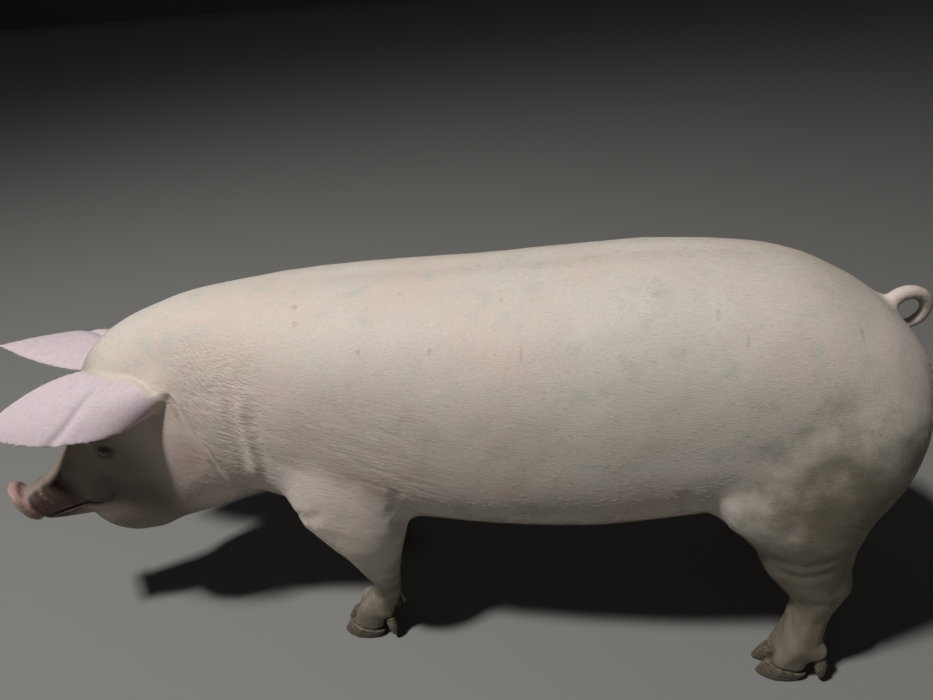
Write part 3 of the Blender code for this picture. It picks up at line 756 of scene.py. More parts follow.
# %% Soft unevenness of flesh and skin
NECK_MIDDLE = (-0.31, 0.0, 0.49)
NECK_REACH = (0.085, 0.30, 0.13)
SHOULDER_MIDDLE = (-0.10, 0.0, 0.44)
SHOULDER_REACH = (0.15, 0.30, 0.12)
# Wrinkles: their lie, how far apart, how long, how deep, and a seed.
NECK_WRINKLES = ((1.0, 0.0, -0.35), 0.009, 0.040, 0.0007, 5)
SHOULDER_WRINKLES = ((1.0, 0.0, -0.55), 0.016, 0.070, 0.0009, 6)
FOLD_REACH = 0.030


def patch(points, middle, reach):
    """1 inside a rounded region, fading to 0 outside."""
    apart = (points - np.array(middle)) / np.array(reach)
    return np.exp(-(apart ** 4).sum(axis=1))


def off_fold(points):
    """0 on the folds behind the ears, rising to 1 beside them."""
    share = np.ones(len(points))
    for _, side in SIDES:
        gap = path_distance(points, side_path(tree, NECK_FOLD, side), FOLD_REACH)[0]
        share = np.minimum(share, smoothstep(0.008, 0.020, np.minimum(gap, FOLD_REACH)))
    return share


points = read_points(skin)
normals = read_normals(skin)
trunk_share = smoothstep(-0.45, -0.30, points[:, 0]) * smoothstep(0.22, 0.34, points[:, 2])
for height, size, seed in ((0.0016, 0.11, 3), (0.0006, 0.035, 4)):
    points += normals * (trunk_share * height * cloud(points, size, seed))[:, None]
neck_share = patch(points, NECK_MIDDLE, NECK_REACH) * off_fold(points)
wrinkles(points, normals, neck_share, *NECK_WRINKLES)
wrinkles(points, normals, patch(points, SHOULDER_MIDDLE, SHOULDER_REACH), *SHOULDER_WRINKLES)
write_points(skin, points)
print("soft unevenness done")

# %% [markdown]
# Then the head: the lids over the eyes, the line of the mouth with its lips, the wrinkles
# across the snout, and the rim and nostrils of the disc.

# %% Lids
LID_WIDE = 0.0118
LID_TALL = 0.0056
LID_THICK = 0.0017
LID_REACH = 0.034
LOWER_LID_SHARE = 0.72
UPPER_FOLD = 0.0085
LOWER_FOLD = 0.0070
SOCKET_DEPTH = 0.0035
# Brow and hollow round an eye: height over its middle, radius, amount.
BROWS = ((0.022, 0.026, 0.0030), (-0.024, 0.016, -0.0020))


def eye_axes(side):
    """Out of the head, along the slit toward the snout, and up across the slit."""
    turn = HEAD.to_3x3()
    out = (turn @ Vector((-0.26, side * 0.94, 0.16))).normalized()
    slit = turn @ Vector((-1.0, 0.0, -0.08))
    slit = (slit - out * slit.dot(out)).normalized()
    tall = out.cross(slit)
    if tall.z < 0:
        tall = -tall
    return np.array(out), np.array(slit), np.array(tall)


def open_lids(points, label, side):
    """Wraps the skin over the eyeball and opens an almond in it."""
    out, slit, tall = eye_axes(side)
    rel = points - EYES[label]
    near = np.nonzero((np.linalg.norm(rel, axis=1) < LID_REACH) & (rel @ out > 0.0))[0]
    rel = rel[near]
    distance = np.linalg.norm(rel, axis=1)
    along, across = rel @ slit, rel @ tall
    arch = np.clip(1.0 - (along / LID_WIDE) ** 2, 0.0, 1.0)
    half = np.where(across > 0, LID_TALL, LID_TALL * LOWER_LID_SHARE) * arch
    beyond = np.maximum(0.0, np.abs(along) - LID_WIDE)
    gap = np.where(beyond > 0, np.hypot(beyond, across), np.abs(across) - half)
    inside = smoothstep(0.0004, -0.0010, gap)
    lid = EYE_RADIUS + LID_THICK
    wrapped = lid + (np.maximum(distance, lid) - lid) * smoothstep(0.002, 0.014, gap)
    fold = np.where(across > 0, UPPER_FOLD, LOWER_FOLD)
    wrapped -= 0.0013 * np.exp(-((gap - fold) / 0.0016) ** 2) * smoothstep(0.0, 0.5, arch + 0.3)
    wrapped += 0.0012 * np.exp(-((gap - fold - 0.004) / 0.0030) ** 2)
    wrapped += 0.0004 * np.exp(-((gap - 0.001) / 0.0012) ** 2)
    target = wrapped * (1 - inside) + (EYE_RADIUS - SOCKET_DEPTH) * inside
    points[near] = EYES[label] + rel / distance[:, None] * target[:, None]


points = read_points(skin)
normals = read_normals(skin)
for label, side in SIDES:
    out, slit, tall = eye_axes(side)
    for height, radius, amount in BROWS:
        raise_at(points, normals, EYES[label] + tall * height + out * 0.010, (radius,) * 3,
                 amount)
    open_lids(points, label, side)
write_points(skin, points)
print("eye radius:", round(EYE_RADIUS, 4))

# %% Mouth and snout
SNOUT_WRINKLES = (0.292, 0.276, 0.258, 0.238)
points = read_points(skin)
normals = even_normals(skin, 4)
for label, side in SIDES:
    crease(points, normals, mouth_paths[label], 0.0022, 0.0036, 0.30, 0.30)
    crease(points, normals, mouth_paths[label] - [0, 0, 0.010], 0.0065, -0.0018, 0.1, 0.35)
for ahead in SNOUT_WRINKLES:
    for label, side in SIDES:
        line = head_path(tree, ((ahead, -0.150), (ahead - 0.004, -0.17), (ahead - 0.012, -0.19)),
                         side)
        crease(points, normals, line, 0.0040, 0.0008, 0.6)
write_points(skin, points)
ease_near(list(mouth_paths.values()), 0.014, 2)
print("mouth:", len(mouth_paths["left"]), "places")

# %% Nostrils and rim of the disc
NOSTRIL_SIZE = (0.0062, 0.0085)
NOSTRIL_DEPTH = 0.011
NOSTRIL_LIP = 0.0012
DISH_DEPTH = 0.0020
RIM_HEIGHT = 0.0026
FLARE = 0.05


def nostril_gap(local):
    """How far places in the snout frame lie from a nostril's middle, 1 at its edge."""
    return np.hypot((np.abs(local[:, 1]) - NOSTRIL_PLACE[0]) / NOSTRIL_SIZE[0],
                    (local[:, 2] - NOSTRIL_PLACE[1]) / NOSTRIL_SIZE[1])


def nostril_cover(points):
    """1 inside a nostril, fading to 0 at its rim, seen along the snout."""
    local = in_frame(points, SNOUT.inverted())
    return (1.0 - smoothstep(0.55, 1.15, nostril_gap(local))) * (local[:, 0] < 0.004)


points = read_points(skin)
normals = read_normals(skin)
local = in_frame(points, SNOUT.inverted())
oval = np.hypot(local[:, 1] / SNOUT_HALF[0], local[:, 2] / SNOUT_HALF[1])
front = smoothstep(0.004, -0.004, local[:, 0])
ahead = np.array(SNOUT.to_3x3() @ Vector((-1.0, 0.0, 0.0)))
face_depth = local[:, 0].min() * 0.96
flat = (1.0 - smoothstep(0.86, 1.0, oval)) * (local[:, 0] < 0.002)
points -= ahead * (flat * (face_depth - local[:, 0]))[:, None]
edge = np.exp(-((local[:, 0] + 0.002) / 0.006) ** 2) * smoothstep(0.70, 0.95, oval)
aside = local * (0.0, 1.0, 1.0) * (FLARE * edge * (oval < 1.3))[:, None]
points += aside @ np.array(SNOUT.to_3x3()).T
dish = -DISH_DEPTH * (1.0 - smoothstep(0.0, 0.75, oval))
rim = RIM_HEIGHT * np.exp(-((oval - 0.90) / 0.11) ** 2)
points += ahead * (front * (dish + rim))[:, None]
points += normals * (front * 0.0004 * cloud(points, 0.004, 8))[:, None]
lip = np.exp(-((nostril_gap(local) - 1.45) / 0.35) ** 2)
points += ahead * (front * NOSTRIL_LIP * lip)[:, None]
points -= ahead * (NOSTRIL_DEPTH * nostril_cover(points) * front)[:, None]
write_points(skin, points)
print("nostril depth:", NOSTRIL_DEPTH)

# %% Hind parts
MIDLINE = 0.0003
TAIL_ROOT_HEIGHT = 0.590
# Rises and, in them, dimples under the tail: drop from its root, radius, amount.
REAR_FORMS = ((0.040, 0.016, 0.006), (0.040, 0.006, -0.007),
              (0.088, 0.019, 0.012), (0.088, 0.0045, -0.006))
points = read_points(skin)
normals = read_normals(skin)
cleft = cast_path(tree, [(1.2, MIDLINE, z) for z in np.arange(0.33, 0.585, 0.004)],
                  (-1.0, 0.0, 0.0))
crease(points, normals, cleft, 0.016, 0.016, 0.25, 0.12)
write_points(skin, points)
normals = read_normals(skin)
for drop, radius, amount in REAR_FORMS:
    place = cast(tree, (1.2, MIDLINE, TAIL_ROOT_HEIGHT - drop), (-1.0, 0.0, 0.0))
    radii = (0.03, radius, radius * (1.0 if drop < 0.06 else 1.5))
    raise_at(points, normals, place - Vector((0.012, 0, 0)), radii, amount)
write_points(skin, points)
print("hind parts done")

# %% [markdown]
# The coat stands above the skin, so the skin is drawn in by the coat's depth.  Then the
# body and the head are thinned, each to its own number of triangles.  The head keeps
# over two fifths of them, because its forms are finer.

# %% Draw in and lighten
COAT_DEPTH = 0.0012
BODY_FACES = 112000
HEAD_FACES = 84000
HEAD_MIDDLE = np.array((-0.56, -0.06, 0.46))
HEAD_REACH = 0.30


def lighten_part(piece, part, target):
    """Decimates only where part is true, down to the target number of triangles."""
    corners = triangles_of(piece)
    full, own = len(corners), int(part[corners].all(axis=1).sum())
    if own <= target:
        return
    piece.vertex_groups.clear()
    set_group(piece, "part", part.astype(float))
    lighten = piece.modifiers.new("lighten", "DECIMATE")
    lighten.ratio = (full - own + target) / full
    lighten.vertex_group = "part"
    apply_all(piece)
    print("lightened:", full, "->", len(triangles_of(piece)))


points = read_points(skin)
points -= read_normals(skin) * COAT_DEPTH
write_points(skin, points)
skin.modifiers.new("triangles", "TRIANGULATE")
apply_all(skin)
for on_head, target in ((False, BODY_FACES), (True, HEAD_FACES)):
    near = np.linalg.norm(read_points(skin) - HEAD_MIDDLE, axis=1) < HEAD_REACH
    lighten_part(skin, near == on_head, target)
print("skin triangles:", len(triangles_of(skin)))

# %% [markdown]
# Colour follows regions of the body.  Each region is a soft number, 0 to 1, kept on the
# points of the skin; every tuft of the coat later takes the numbers of its root, so that
# skin and coat carry the same markings.

# %% Regions of the skin
DISC_REACH = 0.047
MUZZLE_PATCH = ((-0.264, -0.038, -0.184), (0.078, 0.034, 0.054))
JOWL = ((0.012, -0.100, -0.215), (0.075, 0.080, 0.085))


def soft_ball(points, middle, radii):
    """1 in the middle of an ellipsoid, fading to 0 at its surface."""
    apart = np.linalg.norm((points - np.array(middle)) / np.array(radii), axis=1)
    return 1.0 - smoothstep(0.55, 1.0, apart)


def regions(points, normals, ear_share, along, across):
    """The soft numbers of each point."""
    head_points = in_frame(points, TO_HEAD)
    x, z = points[:, 0], points[:, 2]
    height_noise = z + 0.030 * cloud(points, 0.05, 11) + 0.012 * cloud(points, 0.014, 12)
    to_disc = np.linalg.norm(points - DISC, axis=1)
    behind_disc = in_frame(points, SNOUT.inverted())[:, 0] + 0.003 * cloud(points, 0.009, 22)
    muzzle = np.zeros(len(points))
    for side in (-1, 1):
        middle, radii = MUZZLE_PATCH
        place = (middle[0], middle[1] * -side, middle[2])
        ragged = head_points + 0.007 * cloud(points, 0.011, 21)[:, None]
        muzzle = np.maximum(muzzle, soft_ball(ragged, place, radii))
    jowl = np.maximum(soft_ball(head_points, JOWL[0], JOWL[1]),
                      soft_ball(head_points * (1, -1, 1), JOWL[0], JOWL[1]))
    downward = smoothstep(0.25, 0.95, -normals[:, 2])
    body = smoothstep(-0.40, -0.30, x)
    legs = 1.0 - smoothstep(0.10, 0.36, height_noise)
    feet = 1.0 - smoothstep(0.03, 0.13, height_noise)
    # Under the belly, where the skin faces down, the darkening is painted shade.
    belly = downward * body * smoothstep(0.20, 0.30, z)
    # Low on the hams, turned from the lamp, the darkening is painted shade.
    rear = smoothstep(0.40, 0.60, x) * (1.0 - smoothstep(0.40, 0.66, height_noise))
    eye_near = np.zeros(len(points))
    for place in EYES.values():
        eye_near = np.maximum(eye_near, 1.0 - smoothstep(
            0.010, 0.026, np.linalg.norm(points - place, axis=1)))
    lips = np.zeros(len(points))
    for path in mouth_paths.values():
        lips = np.maximum(lips, 1.0 - smoothstep(0.004, 0.009,
                                                 path_distance(points, path, 0.01)[0]))
    fold_side = smoothstep(-0.41, -0.35, x) * (1.0 - smoothstep(-0.27, -0.20, x))
    neck = fold_side * smoothstep(0.33, 0.40, z) * (1.0 - smoothstep(0.60, 0.68, z))
    far = smoothstep(-0.30, -0.22, x) * (1.0 - smoothstep(-0.02, 0.14, x))
    far = far * smoothstep(0.36, 0.42, z) * (1.0 - smoothstep(0.54, 0.64, z))
    return {
        "ear": ear_share,
        "ear_along": along * ear_share,
        "ear_across": across * ear_share,
        "disc": ((1.0 - smoothstep(DISC_REACH * 0.86, DISC_REACH * 1.08, to_disc))
                 * (1.0 - smoothstep(0.004, 0.014, behind_disc))),
        "muzzle": muzzle * (1.0 - ear_share),
        "face": smoothstep(0.0, 0.10, -head_points[:, 0]) * (1.0 - ear_share),
        "jowl": jowl * (1.0 - ear_share),
        # Real dirt on the legs and feet, with painted shade under the belly, on the hams and on
        # the legs in the body's shadow.
        "dirt_and_shade": np.clip(0.80 * legs + 0.25 * feet + 0.65 * belly + 0.95 * rear, 0.0, 1.0),
        "leg": body * (1.0 - smoothstep(0.22, 0.38, z)),
        "eye": eye_near,
        "lips": lips,
        "nostril": nostril_cover(points),
        "neck": neck * (1.0 - ear_share) * off_fold(points),
        "shoulder": far,
    }


def write_numbers(piece, values):
    """Keeps each run of numbers as an attribute on the points of a piece."""
    for name, numbers in values.items():
        layer = piece.data.attributes.new(name, "FLOAT", "POINT")
        layer.data.foreach_set("value", numbers.astype(np.float32))


points = read_points(skin)
on_ear, ear_along, ear_across = ear_cover(points)
on_ear = spread(on_ear, read_edges(skin), 2)
skin_regions = regions(points, read_normals(skin), on_ear, ear_along, ear_across)
write_numbers(skin, skin_regions)
print("regions:", {name: round(float(v.mean()), 3) for name, v in skin_regions.items()})

# %% [markdown]
# The finishes are shader node groups, so that the skin and the coat share one colouring.
# Every group reads the numbers kept on the mesh and the place in the object.

# %% Small helpers for shader nodes
def add_node(tree, kind, inputs=None, **settings):
    """One node; inputs holds values or sockets to link, by name or number."""
    made = tree.nodes.new(kind)
    for key, value in settings.items():
        setattr(made, key, value)
    for key, value in (inputs or {}).items():
        if isinstance(value, bpy.types.NodeSocket):
            tree.links.new(value, made.inputs[key])
        else:
            made.inputs[key].default_value = value
    return made


def math_node(tree, operation, first, second=0.0, clamp=False):
    return add_node(tree, "ShaderNodeMath", {0: first, 1: second}, operation=operation,
                    use_clamp=clamp).outputs[0]


def times(tree, first, second):
    return math_node(tree, "MULTIPLY", first, second)


def flip(tree, value):
    return math_node(tree, "SUBTRACT", 1.0, value)


def mix_colour(tree, share, first, second):
    made = add_node(tree, "ShaderNodeMix", {"Factor": share}, data_type="RGBA")
    for key, value in ((6, first), (7, second)):
        if isinstance(value, bpy.types.NodeSocket):
            tree.links.new(value, made.inputs[key])
        else:
            made.inputs[key].default_value = (*value, 1.0)
    return made.outputs[2]


def number(tree, name):
    return add_node(tree, "ShaderNodeAttribute", attribute_name=name).outputs["Fac"]


def span(tree, value, low, high):
    """0 below low, 1 above high, smooth between."""
    return add_node(tree, "ShaderNodeMapRange", {"Value": value, "From Min": low,
                                                 "From Max": high},
                    interpolation_type="SMOOTHSTEP").outputs[0]


def new_group(name, inputs, outputs):
    """An empty node group with its sockets; each is a (name, kind) pair."""
    tree = bpy.data.node_groups.new(name, "ShaderNodeTree")
    for names, way in ((inputs, "INPUT"), (outputs, "OUTPUT")):
        for label, kind in names:
            tree.interface.new_socket(label, in_out=way, socket_type=f"NodeSocket{kind}")
    start = tree.nodes.new("NodeGroupInput")
    end = tree.nodes.new("NodeGroupOutput")
    return tree, start.outputs, end.inputs


def use_group(tree, group, inputs=None):
    made = tree.nodes.new("ShaderNodeGroup")
    made.node_tree = group
    for key, value in (inputs or {}).items():
        if isinstance(value, bpy.types.NodeSocket):
            tree.links.new(value, made.inputs[key])
        else:
            made.inputs[key].default_value = value
    return made.outputs


def streak(tree, place, turn, length, width, detail=2.0):
    """Noise drawn out along a direction: turn is the rotation that lays X along it."""
    laid = add_node(tree, "ShaderNodeMapping", {
        "Vector": place, "Rotation": tuple(math.radians(a) for a in turn),
        "Scale": (length, width, width)}, vector_type="TEXTURE").outputs[0]
    return add_node(tree, "ShaderNodeTexNoise", {
        "Vector": laid, "Scale": 1.0, "Detail": detail, "Roughness": 0.55}).outputs["Fac"]


# %% [markdown]
# The lie of the hair is drawn as fine streaks: back along the trunk, down the legs and
# back from the snout.  The neck has wrinkles about 4 mm apart.

# %% Lie of the hair and wrinkles as heights
TRUNK_TURN = (0.0, 8.0, 0.0)
LEG_TURN = (0.0, 84.0, 0.0)
HEAD_LIE = (0.0, -HEAD_DROP, HEAD_TURN)
STEEP_TURN = (0.0, 50.0, 0.0)
LEVEL_TURN = (0.0, 14.0, 0.0)
HAIR_LENGTH = 0.012
HAIR_WIDTH = 0.0008


def make_relief():
    """Group that gives the hair's streaks and the wrinkles, both 0 to 1."""
    tree, _, end = new_group("pig_relief", (), (("Hair", "Float"), ("Wrinkle", "Float")))
    place = add_node(tree, "ShaderNodeTexCoord").outputs["Object"]
    trunk = streak(tree, place, TRUNK_TURN, HAIR_LENGTH, HAIR_WIDTH)
    leg = streak(tree, place, LEG_TURN, HAIR_LENGTH, HAIR_WIDTH)
    head = streak(tree, place, HEAD_LIE, HAIR_LENGTH * 0.6, HAIR_WIDTH * 0.9)
    on_leg, on_face = number(tree, "leg"), number(tree, "face")
    hair = add_node(tree, "ShaderNodeMix", {"Factor": on_leg, 2: trunk, 3: leg}).outputs[0]
    hair = add_node(tree, "ShaderNodeMix", {"Factor": on_face, 2: hair, 3: head}).outputs[0]
    tree.links.new(hair, end["Hair"])
    steep = streak(tree, place, STEEP_TURN, 0.050, 0.0038, 1.0)
    level = streak(tree, place, LEVEL_TURN, 0.050, 0.0038, 1.0)
    across = add_node(tree, "ShaderNodeSeparateXYZ", {0: place}).outputs[0]
    behind = span(tree, across, -0.345, -0.285)
    fold = add_node(tree, "ShaderNodeMix", {"Factor": behind, 2: steep, 3: level}).outputs[0]
    ridge = span(tree, fold, 0.36, 0.58)
    share = math_node(tree, "ADD", number(tree, "neck"),
                      times(tree, number(tree, "shoulder"), 0.28), True)
    groove = times(tree, flip(tree, ridge), share)
    tree.links.new(groove, end["Wrinkle"])
    return tree


relief_group = make_relief()

# %% [markdown]
# The colour begins as cream, warmer or greyer in patches.  Then come the pink of ears,
# jowl and disc, the dark skin of the muzzle, small brown spots and scratches.  Shade is
# painted in as well: the face under the ears is darkened as their shadow, the rims of the
# eyes, the line of the mouth and the nostrils are painted dark as shade, and the darkening
# low on the legs, on the belly and on the hams is partly dirt and partly painted shade.

# %% Colouring shared by skin and coat
CREAM = (0.662, 0.598, 0.520)
WARM = (0.680, 0.568, 0.492)
GREY = (0.585, 0.552, 0.475)
LILAC = (0.672, 0.548, 0.590)
VEIN = (0.520, 0.330, 0.370)
BLUSH = (0.665, 0.490, 0.445)
DISC_PINK = (0.500, 0.305, 0.265)
# Dark of the muzzle's patch of skin, used also as painted shade round the eyes and lips.
MUZZLE_DARK_AND_SHADE = (0.060, 0.034, 0.025)
# Painted shade: near black for the inside of the nostrils.
NOSTRIL_SHADE = (0.070, 0.022, 0.018)
# Painted shade: the dark brown laid over the face as the shadow of the ears.
FACE_SHADE_PAINT = (0.150, 0.098, 0.072)
# Dark brown of dirt, used also as painted shade under the belly, on the hams and legs.
DIRT_AND_SHADE = (0.165, 0.138, 0.090)
SPOT = (0.400, 0.265, 0.205)
# Spots and scratches: place, and half sizes along the back, across and up.
SPOTS = (((-0.175, -0.085, 0.683), (0.008, 0.008, 0.010)),
         ((-0.168, -0.112, 0.668), (0.007, 0.008, 0.008)),
         ((-0.058, -0.101, 0.685), (0.006, 0.007, 0.006)),
         ((-0.012, -0.074, 0.697), (0.006, 0.006, 0.006)),
         ((-0.064, -0.154, 0.640), (0.006, 0.008, 0.007)),
         ((0.142, -0.100, 0.694), (0.005, 0.006, 0.005)),
         ((0.172, -0.166, 0.641), (0.0035, 0.014, 0.017)),
         ((0.042, -0.158, 0.641), (0.005, 0.010, 0.008)),
         ((0.436, -0.137, 0.681), (0.005, 0.012, 0.012)),
         ((0.471, -0.161, 0.653), (0.004, 0.012, 0.014)),
         ((0.627, -0.127, 0.646), (0.004, 0.014, 0.022)),
         ((0.482, -0.200, 0.509), (0.007, 0.010, 0.006)))
SPOT_STRENGTH = 0.50


def make_spot():
    """Group: 1 at a place, fading to 0 at the half sizes given."""
    tree, start, end = new_group("pig_spot", (("Vector", "Vector"), ("Place", "Vector"),
                                              ("Size", "Vector")), (("Mask", "Float"),))
    apart = add_node(tree, "ShaderNodeVectorMath", {0: start["Vector"], 1: start["Place"]},
                     operation="SUBTRACT").outputs[0]
    apart = add_node(tree, "ShaderNodeVectorMath", {0: apart, 1: start["Size"]},
                     operation="DIVIDE").outputs[0]
    far = add_node(tree, "ShaderNodeVectorMath", {0: apart}, operation="LENGTH").outputs[1]
    inside = flip(tree, span(tree, far, 0.35, 1.0))
    tree.links.new(inside, end["Mask"])
    return tree


spot_group = make_spot()


def make_colouring():
    """Group that gives the colour of the skin, and of the hair that grows on it."""
    tree, _, end = new_group("pig_colouring", (), (("Color", "Color"),
                                                       ("Dirt_and_shade", "Float")))
    place = add_node(tree, "ShaderNodeTexCoord").outputs["Object"]

    def noise(scale, detail=3.0, rough=0.55):
        return add_node(tree, "ShaderNodeTexNoise", {
            "Vector": place, "Scale": scale, "Detail": detail,
            "Roughness": rough}).outputs["Fac"]

    wide, middle, fine = noise(5.0), noise(24.0, 4.0), noise(210.0, 3.0, 0.6)
    colour = mix_colour(tree, span(tree, wide, 0.40, 0.66), CREAM, WARM)
    colour = mix_colour(tree, span(tree, middle, 0.52, 0.74), colour, GREY)
    blush = times(tree, number(tree, "jowl"), span(tree, middle, 0.25, 0.65))
    colour = mix_colour(tree, blush, colour, BLUSH)
    neck = times(tree, number(tree, "shoulder"), 0.35)
    colour = mix_colour(tree, times(tree, neck, span(tree, middle, 0.3, 0.7)),
                        colour, BLUSH)
    # The face ahead of the poll is painted dark brown: painted shadow of the ears.
    face = times(tree, number(tree, "face"), 0.76)
    colour = mix_colour(tree, face, colour, FACE_SHADE_PAINT)
    patchy = add_node(tree, "ShaderNodeMapRange", {"Value": middle, "From Min": 0.3,
                                                   "From Max": 0.7, "To Min": 0.62}).outputs[0]
    colour = mix_colour(tree, times(tree, number(tree, "ear"), patchy), colour,
                        LILAC)
    vein = streak(tree, place, (0.0, -20.0, 60.0), 0.060, 0.012, 4.0)
    vein = math_node(tree, "ABSOLUTE", math_node(tree, "SUBTRACT", vein, 0.5))
    vein = flip(tree, span(tree, vein, 0.0, 0.030))
    vein = times(tree, vein, number(tree, "ear"))
    colour = mix_colour(tree, times(tree, vein, 0.30), colour, VEIN)
    spots = 0.0
    for middle_place, size in SPOTS:
        mask = use_group(tree, spot_group, {"Vector": place, "Place": middle_place,
                                            "Size": size})["Mask"]
        spots = math_node(tree, "ADD", mask, spots, True)
    broken = times(tree, spots, span(tree, fine, 0.30, 0.62))
    colour = mix_colour(tree, times(tree, broken, SPOT_STRENGTH), colour,
                        SPOT)
    muzzle = times(tree, number(tree, "muzzle"),
                   span(tree, noise(160.0, 3.0, 0.7), 0.20, 0.42))
    colour = mix_colour(tree, muzzle, colour, MUZZLE_DARK_AND_SHADE)
    # Round the eyes and along the mouth line the skin is painted dark: painted shade in the eye
    # hollows and the mouth's furrow.
    lid_lip_shade = math_node(tree, "MAXIMUM", times(tree, number(tree, "eye"), 0.62),
                     times(tree, number(tree, "lips"), 0.45))
    colour = mix_colour(tree, lid_lip_shade, colour, MUZZLE_DARK_AND_SHADE)
    colour = mix_colour(tree, number(tree, "disc"), colour, DISC_PINK)
    # The inside of each nostril is painted near black: painted shade in the hole.
    colour = mix_colour(tree, number(tree, "nostril"), colour, NOSTRIL_SHADE)
    # Dirt and painted shade together darken the colour toward one dark brown.
    caked_and_shaded = math_node(tree, "ADD", number(tree, "dirt_and_shade"),
                      times(tree, math_node(tree, "SUBTRACT", middle, 0.5), 0.9))
    caked_and_shaded = times(tree, span(tree, caked_and_shaded, 0.10, 1.05), 0.92)
    colour = mix_colour(tree, caked_and_shaded, colour, DIRT_AND_SHADE)
    relief = use_group(tree, relief_group)
    shade = times(tree, relief["Wrinkle"], 0.13)
    colour = mix_colour(tree, shade, colour, (0.30, 0.22, 0.17))
    tone = add_node(tree, "ShaderNodeMapRange", {
        "Value": relief["Hair"], "From Min": 0.30, "From Max": 0.70, "To Min": 0.88,
        "To Max": 1.07}).outputs[0]
    toned = add_node(tree, "ShaderNodeVectorMath", {0: colour, 3: tone}, operation="SCALE")
    tree.links.new(toned.outputs[0], end["Color"])
    tree.links.new(caked_and_shaded, end["Dirt_and_shade"])
    return tree


colouring_group = make_colouring()


# %% Skin
def new_finish(name, colour, roughness):
    """A material with its node tree and shader at hand."""
    material = plain_material(name, colour, roughness)
    return material, material.node_tree, material.node_tree.nodes["Principled BSDF"]


def bump(tree, height, strength, distance, under=None):
    inputs = {"Height": height, "Strength": strength, "Distance": distance}
    if under is not None:
        inputs["Normal"] = under
    return add_node(tree, "ShaderNodeBump", inputs).outputs[0]


def make_skin_finish():
    material, tree, shader = new_finish("pig_skin", CREAM, 0.58)
    colouring = use_group(tree, colouring_group)
    relief = use_group(tree, relief_group)
    tree.links.new(colouring["Color"], shader.inputs["Base Color"])
    place = add_node(tree, "ShaderNodeTexCoord").outputs["Object"]
    pores = add_node(tree, "ShaderNodeTexVoronoi", {"Vector": place, "Scale": 420.0},
                     feature="F1").outputs["Distance"]
    groove = flip(tree, relief["Wrinkle"])
    under = bump(tree, groove, 0.42, 0.0013)
    under = bump(tree, pores, 0.25, 0.0006, under)
    under = bump(tree, relief["Hair"], 0.38, 0.0012, under)
    tree.links.new(under, shader.inputs["Normal"])
    rough = add_node(tree, "ShaderNodeMapRange", {"Value": number(tree, "disc"), "To Min": 0.58,
                                                  "To Max": 0.33}).outputs[0]
    tree.links.new(rough, shader.inputs["Roughness"])
    shader.inputs["Subsurface Weight"].default_value = 0.12
    shader.inputs["Subsurface Radius"].default_value = (0.012, 0.005, 0.003)
    shader.inputs["Subsurface Scale"].default_value = 0.6
    shader.inputs["Specular IOR Level"].default_value = 0.35
    return material


skin.data.materials.append(make_skin_finish())
make_active(skin)
bpy.ops.object.shade_smooth()
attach(skin, "root")
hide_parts(*BODY, *EARS)
print("skin finish:", skin.data.materials[0].name)

# %% [markdown]
# Claws and dewclaws are horn: rounded copies of the solids, with their soles left flat,
# growth rings across them and dirt caught in the rings.

# %% Claws
CLAWS = [f"{kind}_{toe}" for kind in ("claw", "dewclaw") for toe in TOES]
CLAW_GRID = 0.0013
RING_SPACING = 0.0042
RING_DEPTH = 0.00022
CHIP_DEPTH = 0.0009
CLAW_TRIANGLES = 110000

claws = joined_copy(CLAWS, "claws")
remesh(claws, CLAW_GRID)
smooth_kept(claws, 8)
points = read_points(claws)
normals = read_normals(claws)
clear = smoothstep(0.001, 0.006, points[:, 2])
rings = np.sin(2 * np.pi * (points[:, 2] + 0.3 * points[:, 0]) / RING_SPACING
               + 1.5 * cloud(points, 0.012, 31))
chips = np.minimum(0.0, cloud(points, 0.007, 32) + 0.25)
points += normals * (clear * (RING_DEPTH * rings + CHIP_DEPTH * chips))[:, None]
points[:, 2] = np.maximum(points[:, 2], 0.0)
write_points(claws, points)
lighten = claws.modifiers.new("lighten", "DECIMATE")
lighten.ratio = min(1.0, CLAW_TRIANGLES / (2 * len(claws.data.polygons)))
apply_all(claws)


def make_horn_finish():
    material, tree, shader = new_finish("claw_horn", (0.14, 0.11, 0.08), 0.5)
    place = add_node(tree, "ShaderNodeTexCoord").outputs["Object"]
    rings = add_node(tree, "ShaderNodeTexWave", {"Vector": place, "Scale": 38.0,
                                                 "Distortion": 3.0, "Detail": 2.0},
                     bands_direction="Z").outputs["Fac"]
    grain = add_node(tree, "ShaderNodeTexNoise", {"Vector": place, "Scale": 140.0,
                                                  "Detail": 4.0}).outputs["Fac"]
    horn = mix_colour(tree, span(tree, grain, 0.35, 0.7), (0.10, 0.078, 0.055),
                      (0.235, 0.195, 0.140))
    horn = mix_colour(tree, times(tree, rings, 0.35), horn,
                      (0.055, 0.044, 0.030))
    height = add_node(tree, "ShaderNodeSeparateXYZ", {0: place}).outputs[2]
    low = flip(tree, span(tree, height, 0.004, 0.030))
    mud = times(tree, low, span(tree, grain, 0.30, 0.55))
    horn = mix_colour(tree, times(tree, mud, 0.8), horn, (0.085, 0.068, 0.042))
    tree.links.new(horn, shader.inputs["Base Color"])
    relief = math_node(tree, "ADD", grain, times(tree, rings, 0.5))
    tree.links.new(bump(tree, relief, 0.5, 0.0009), shader.inputs["Normal"])
    return material


claws.data.materials.append(make_horn_finish())
make_active(claws)
bpy.ops.object.shade_smooth()
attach(claws, "root")
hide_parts(*CLAWS)
print("claws:", len(claws.data.polygons), "faces")

# %% [markdown]
# The eyeballs are whole balls, set as deep as the lids need, with a clear bulge over a
# brown iris and a wide dark pupil that lies level.

# %% Eyes
IRIS_ANGLE = 34.0
BULGE = 0.0007


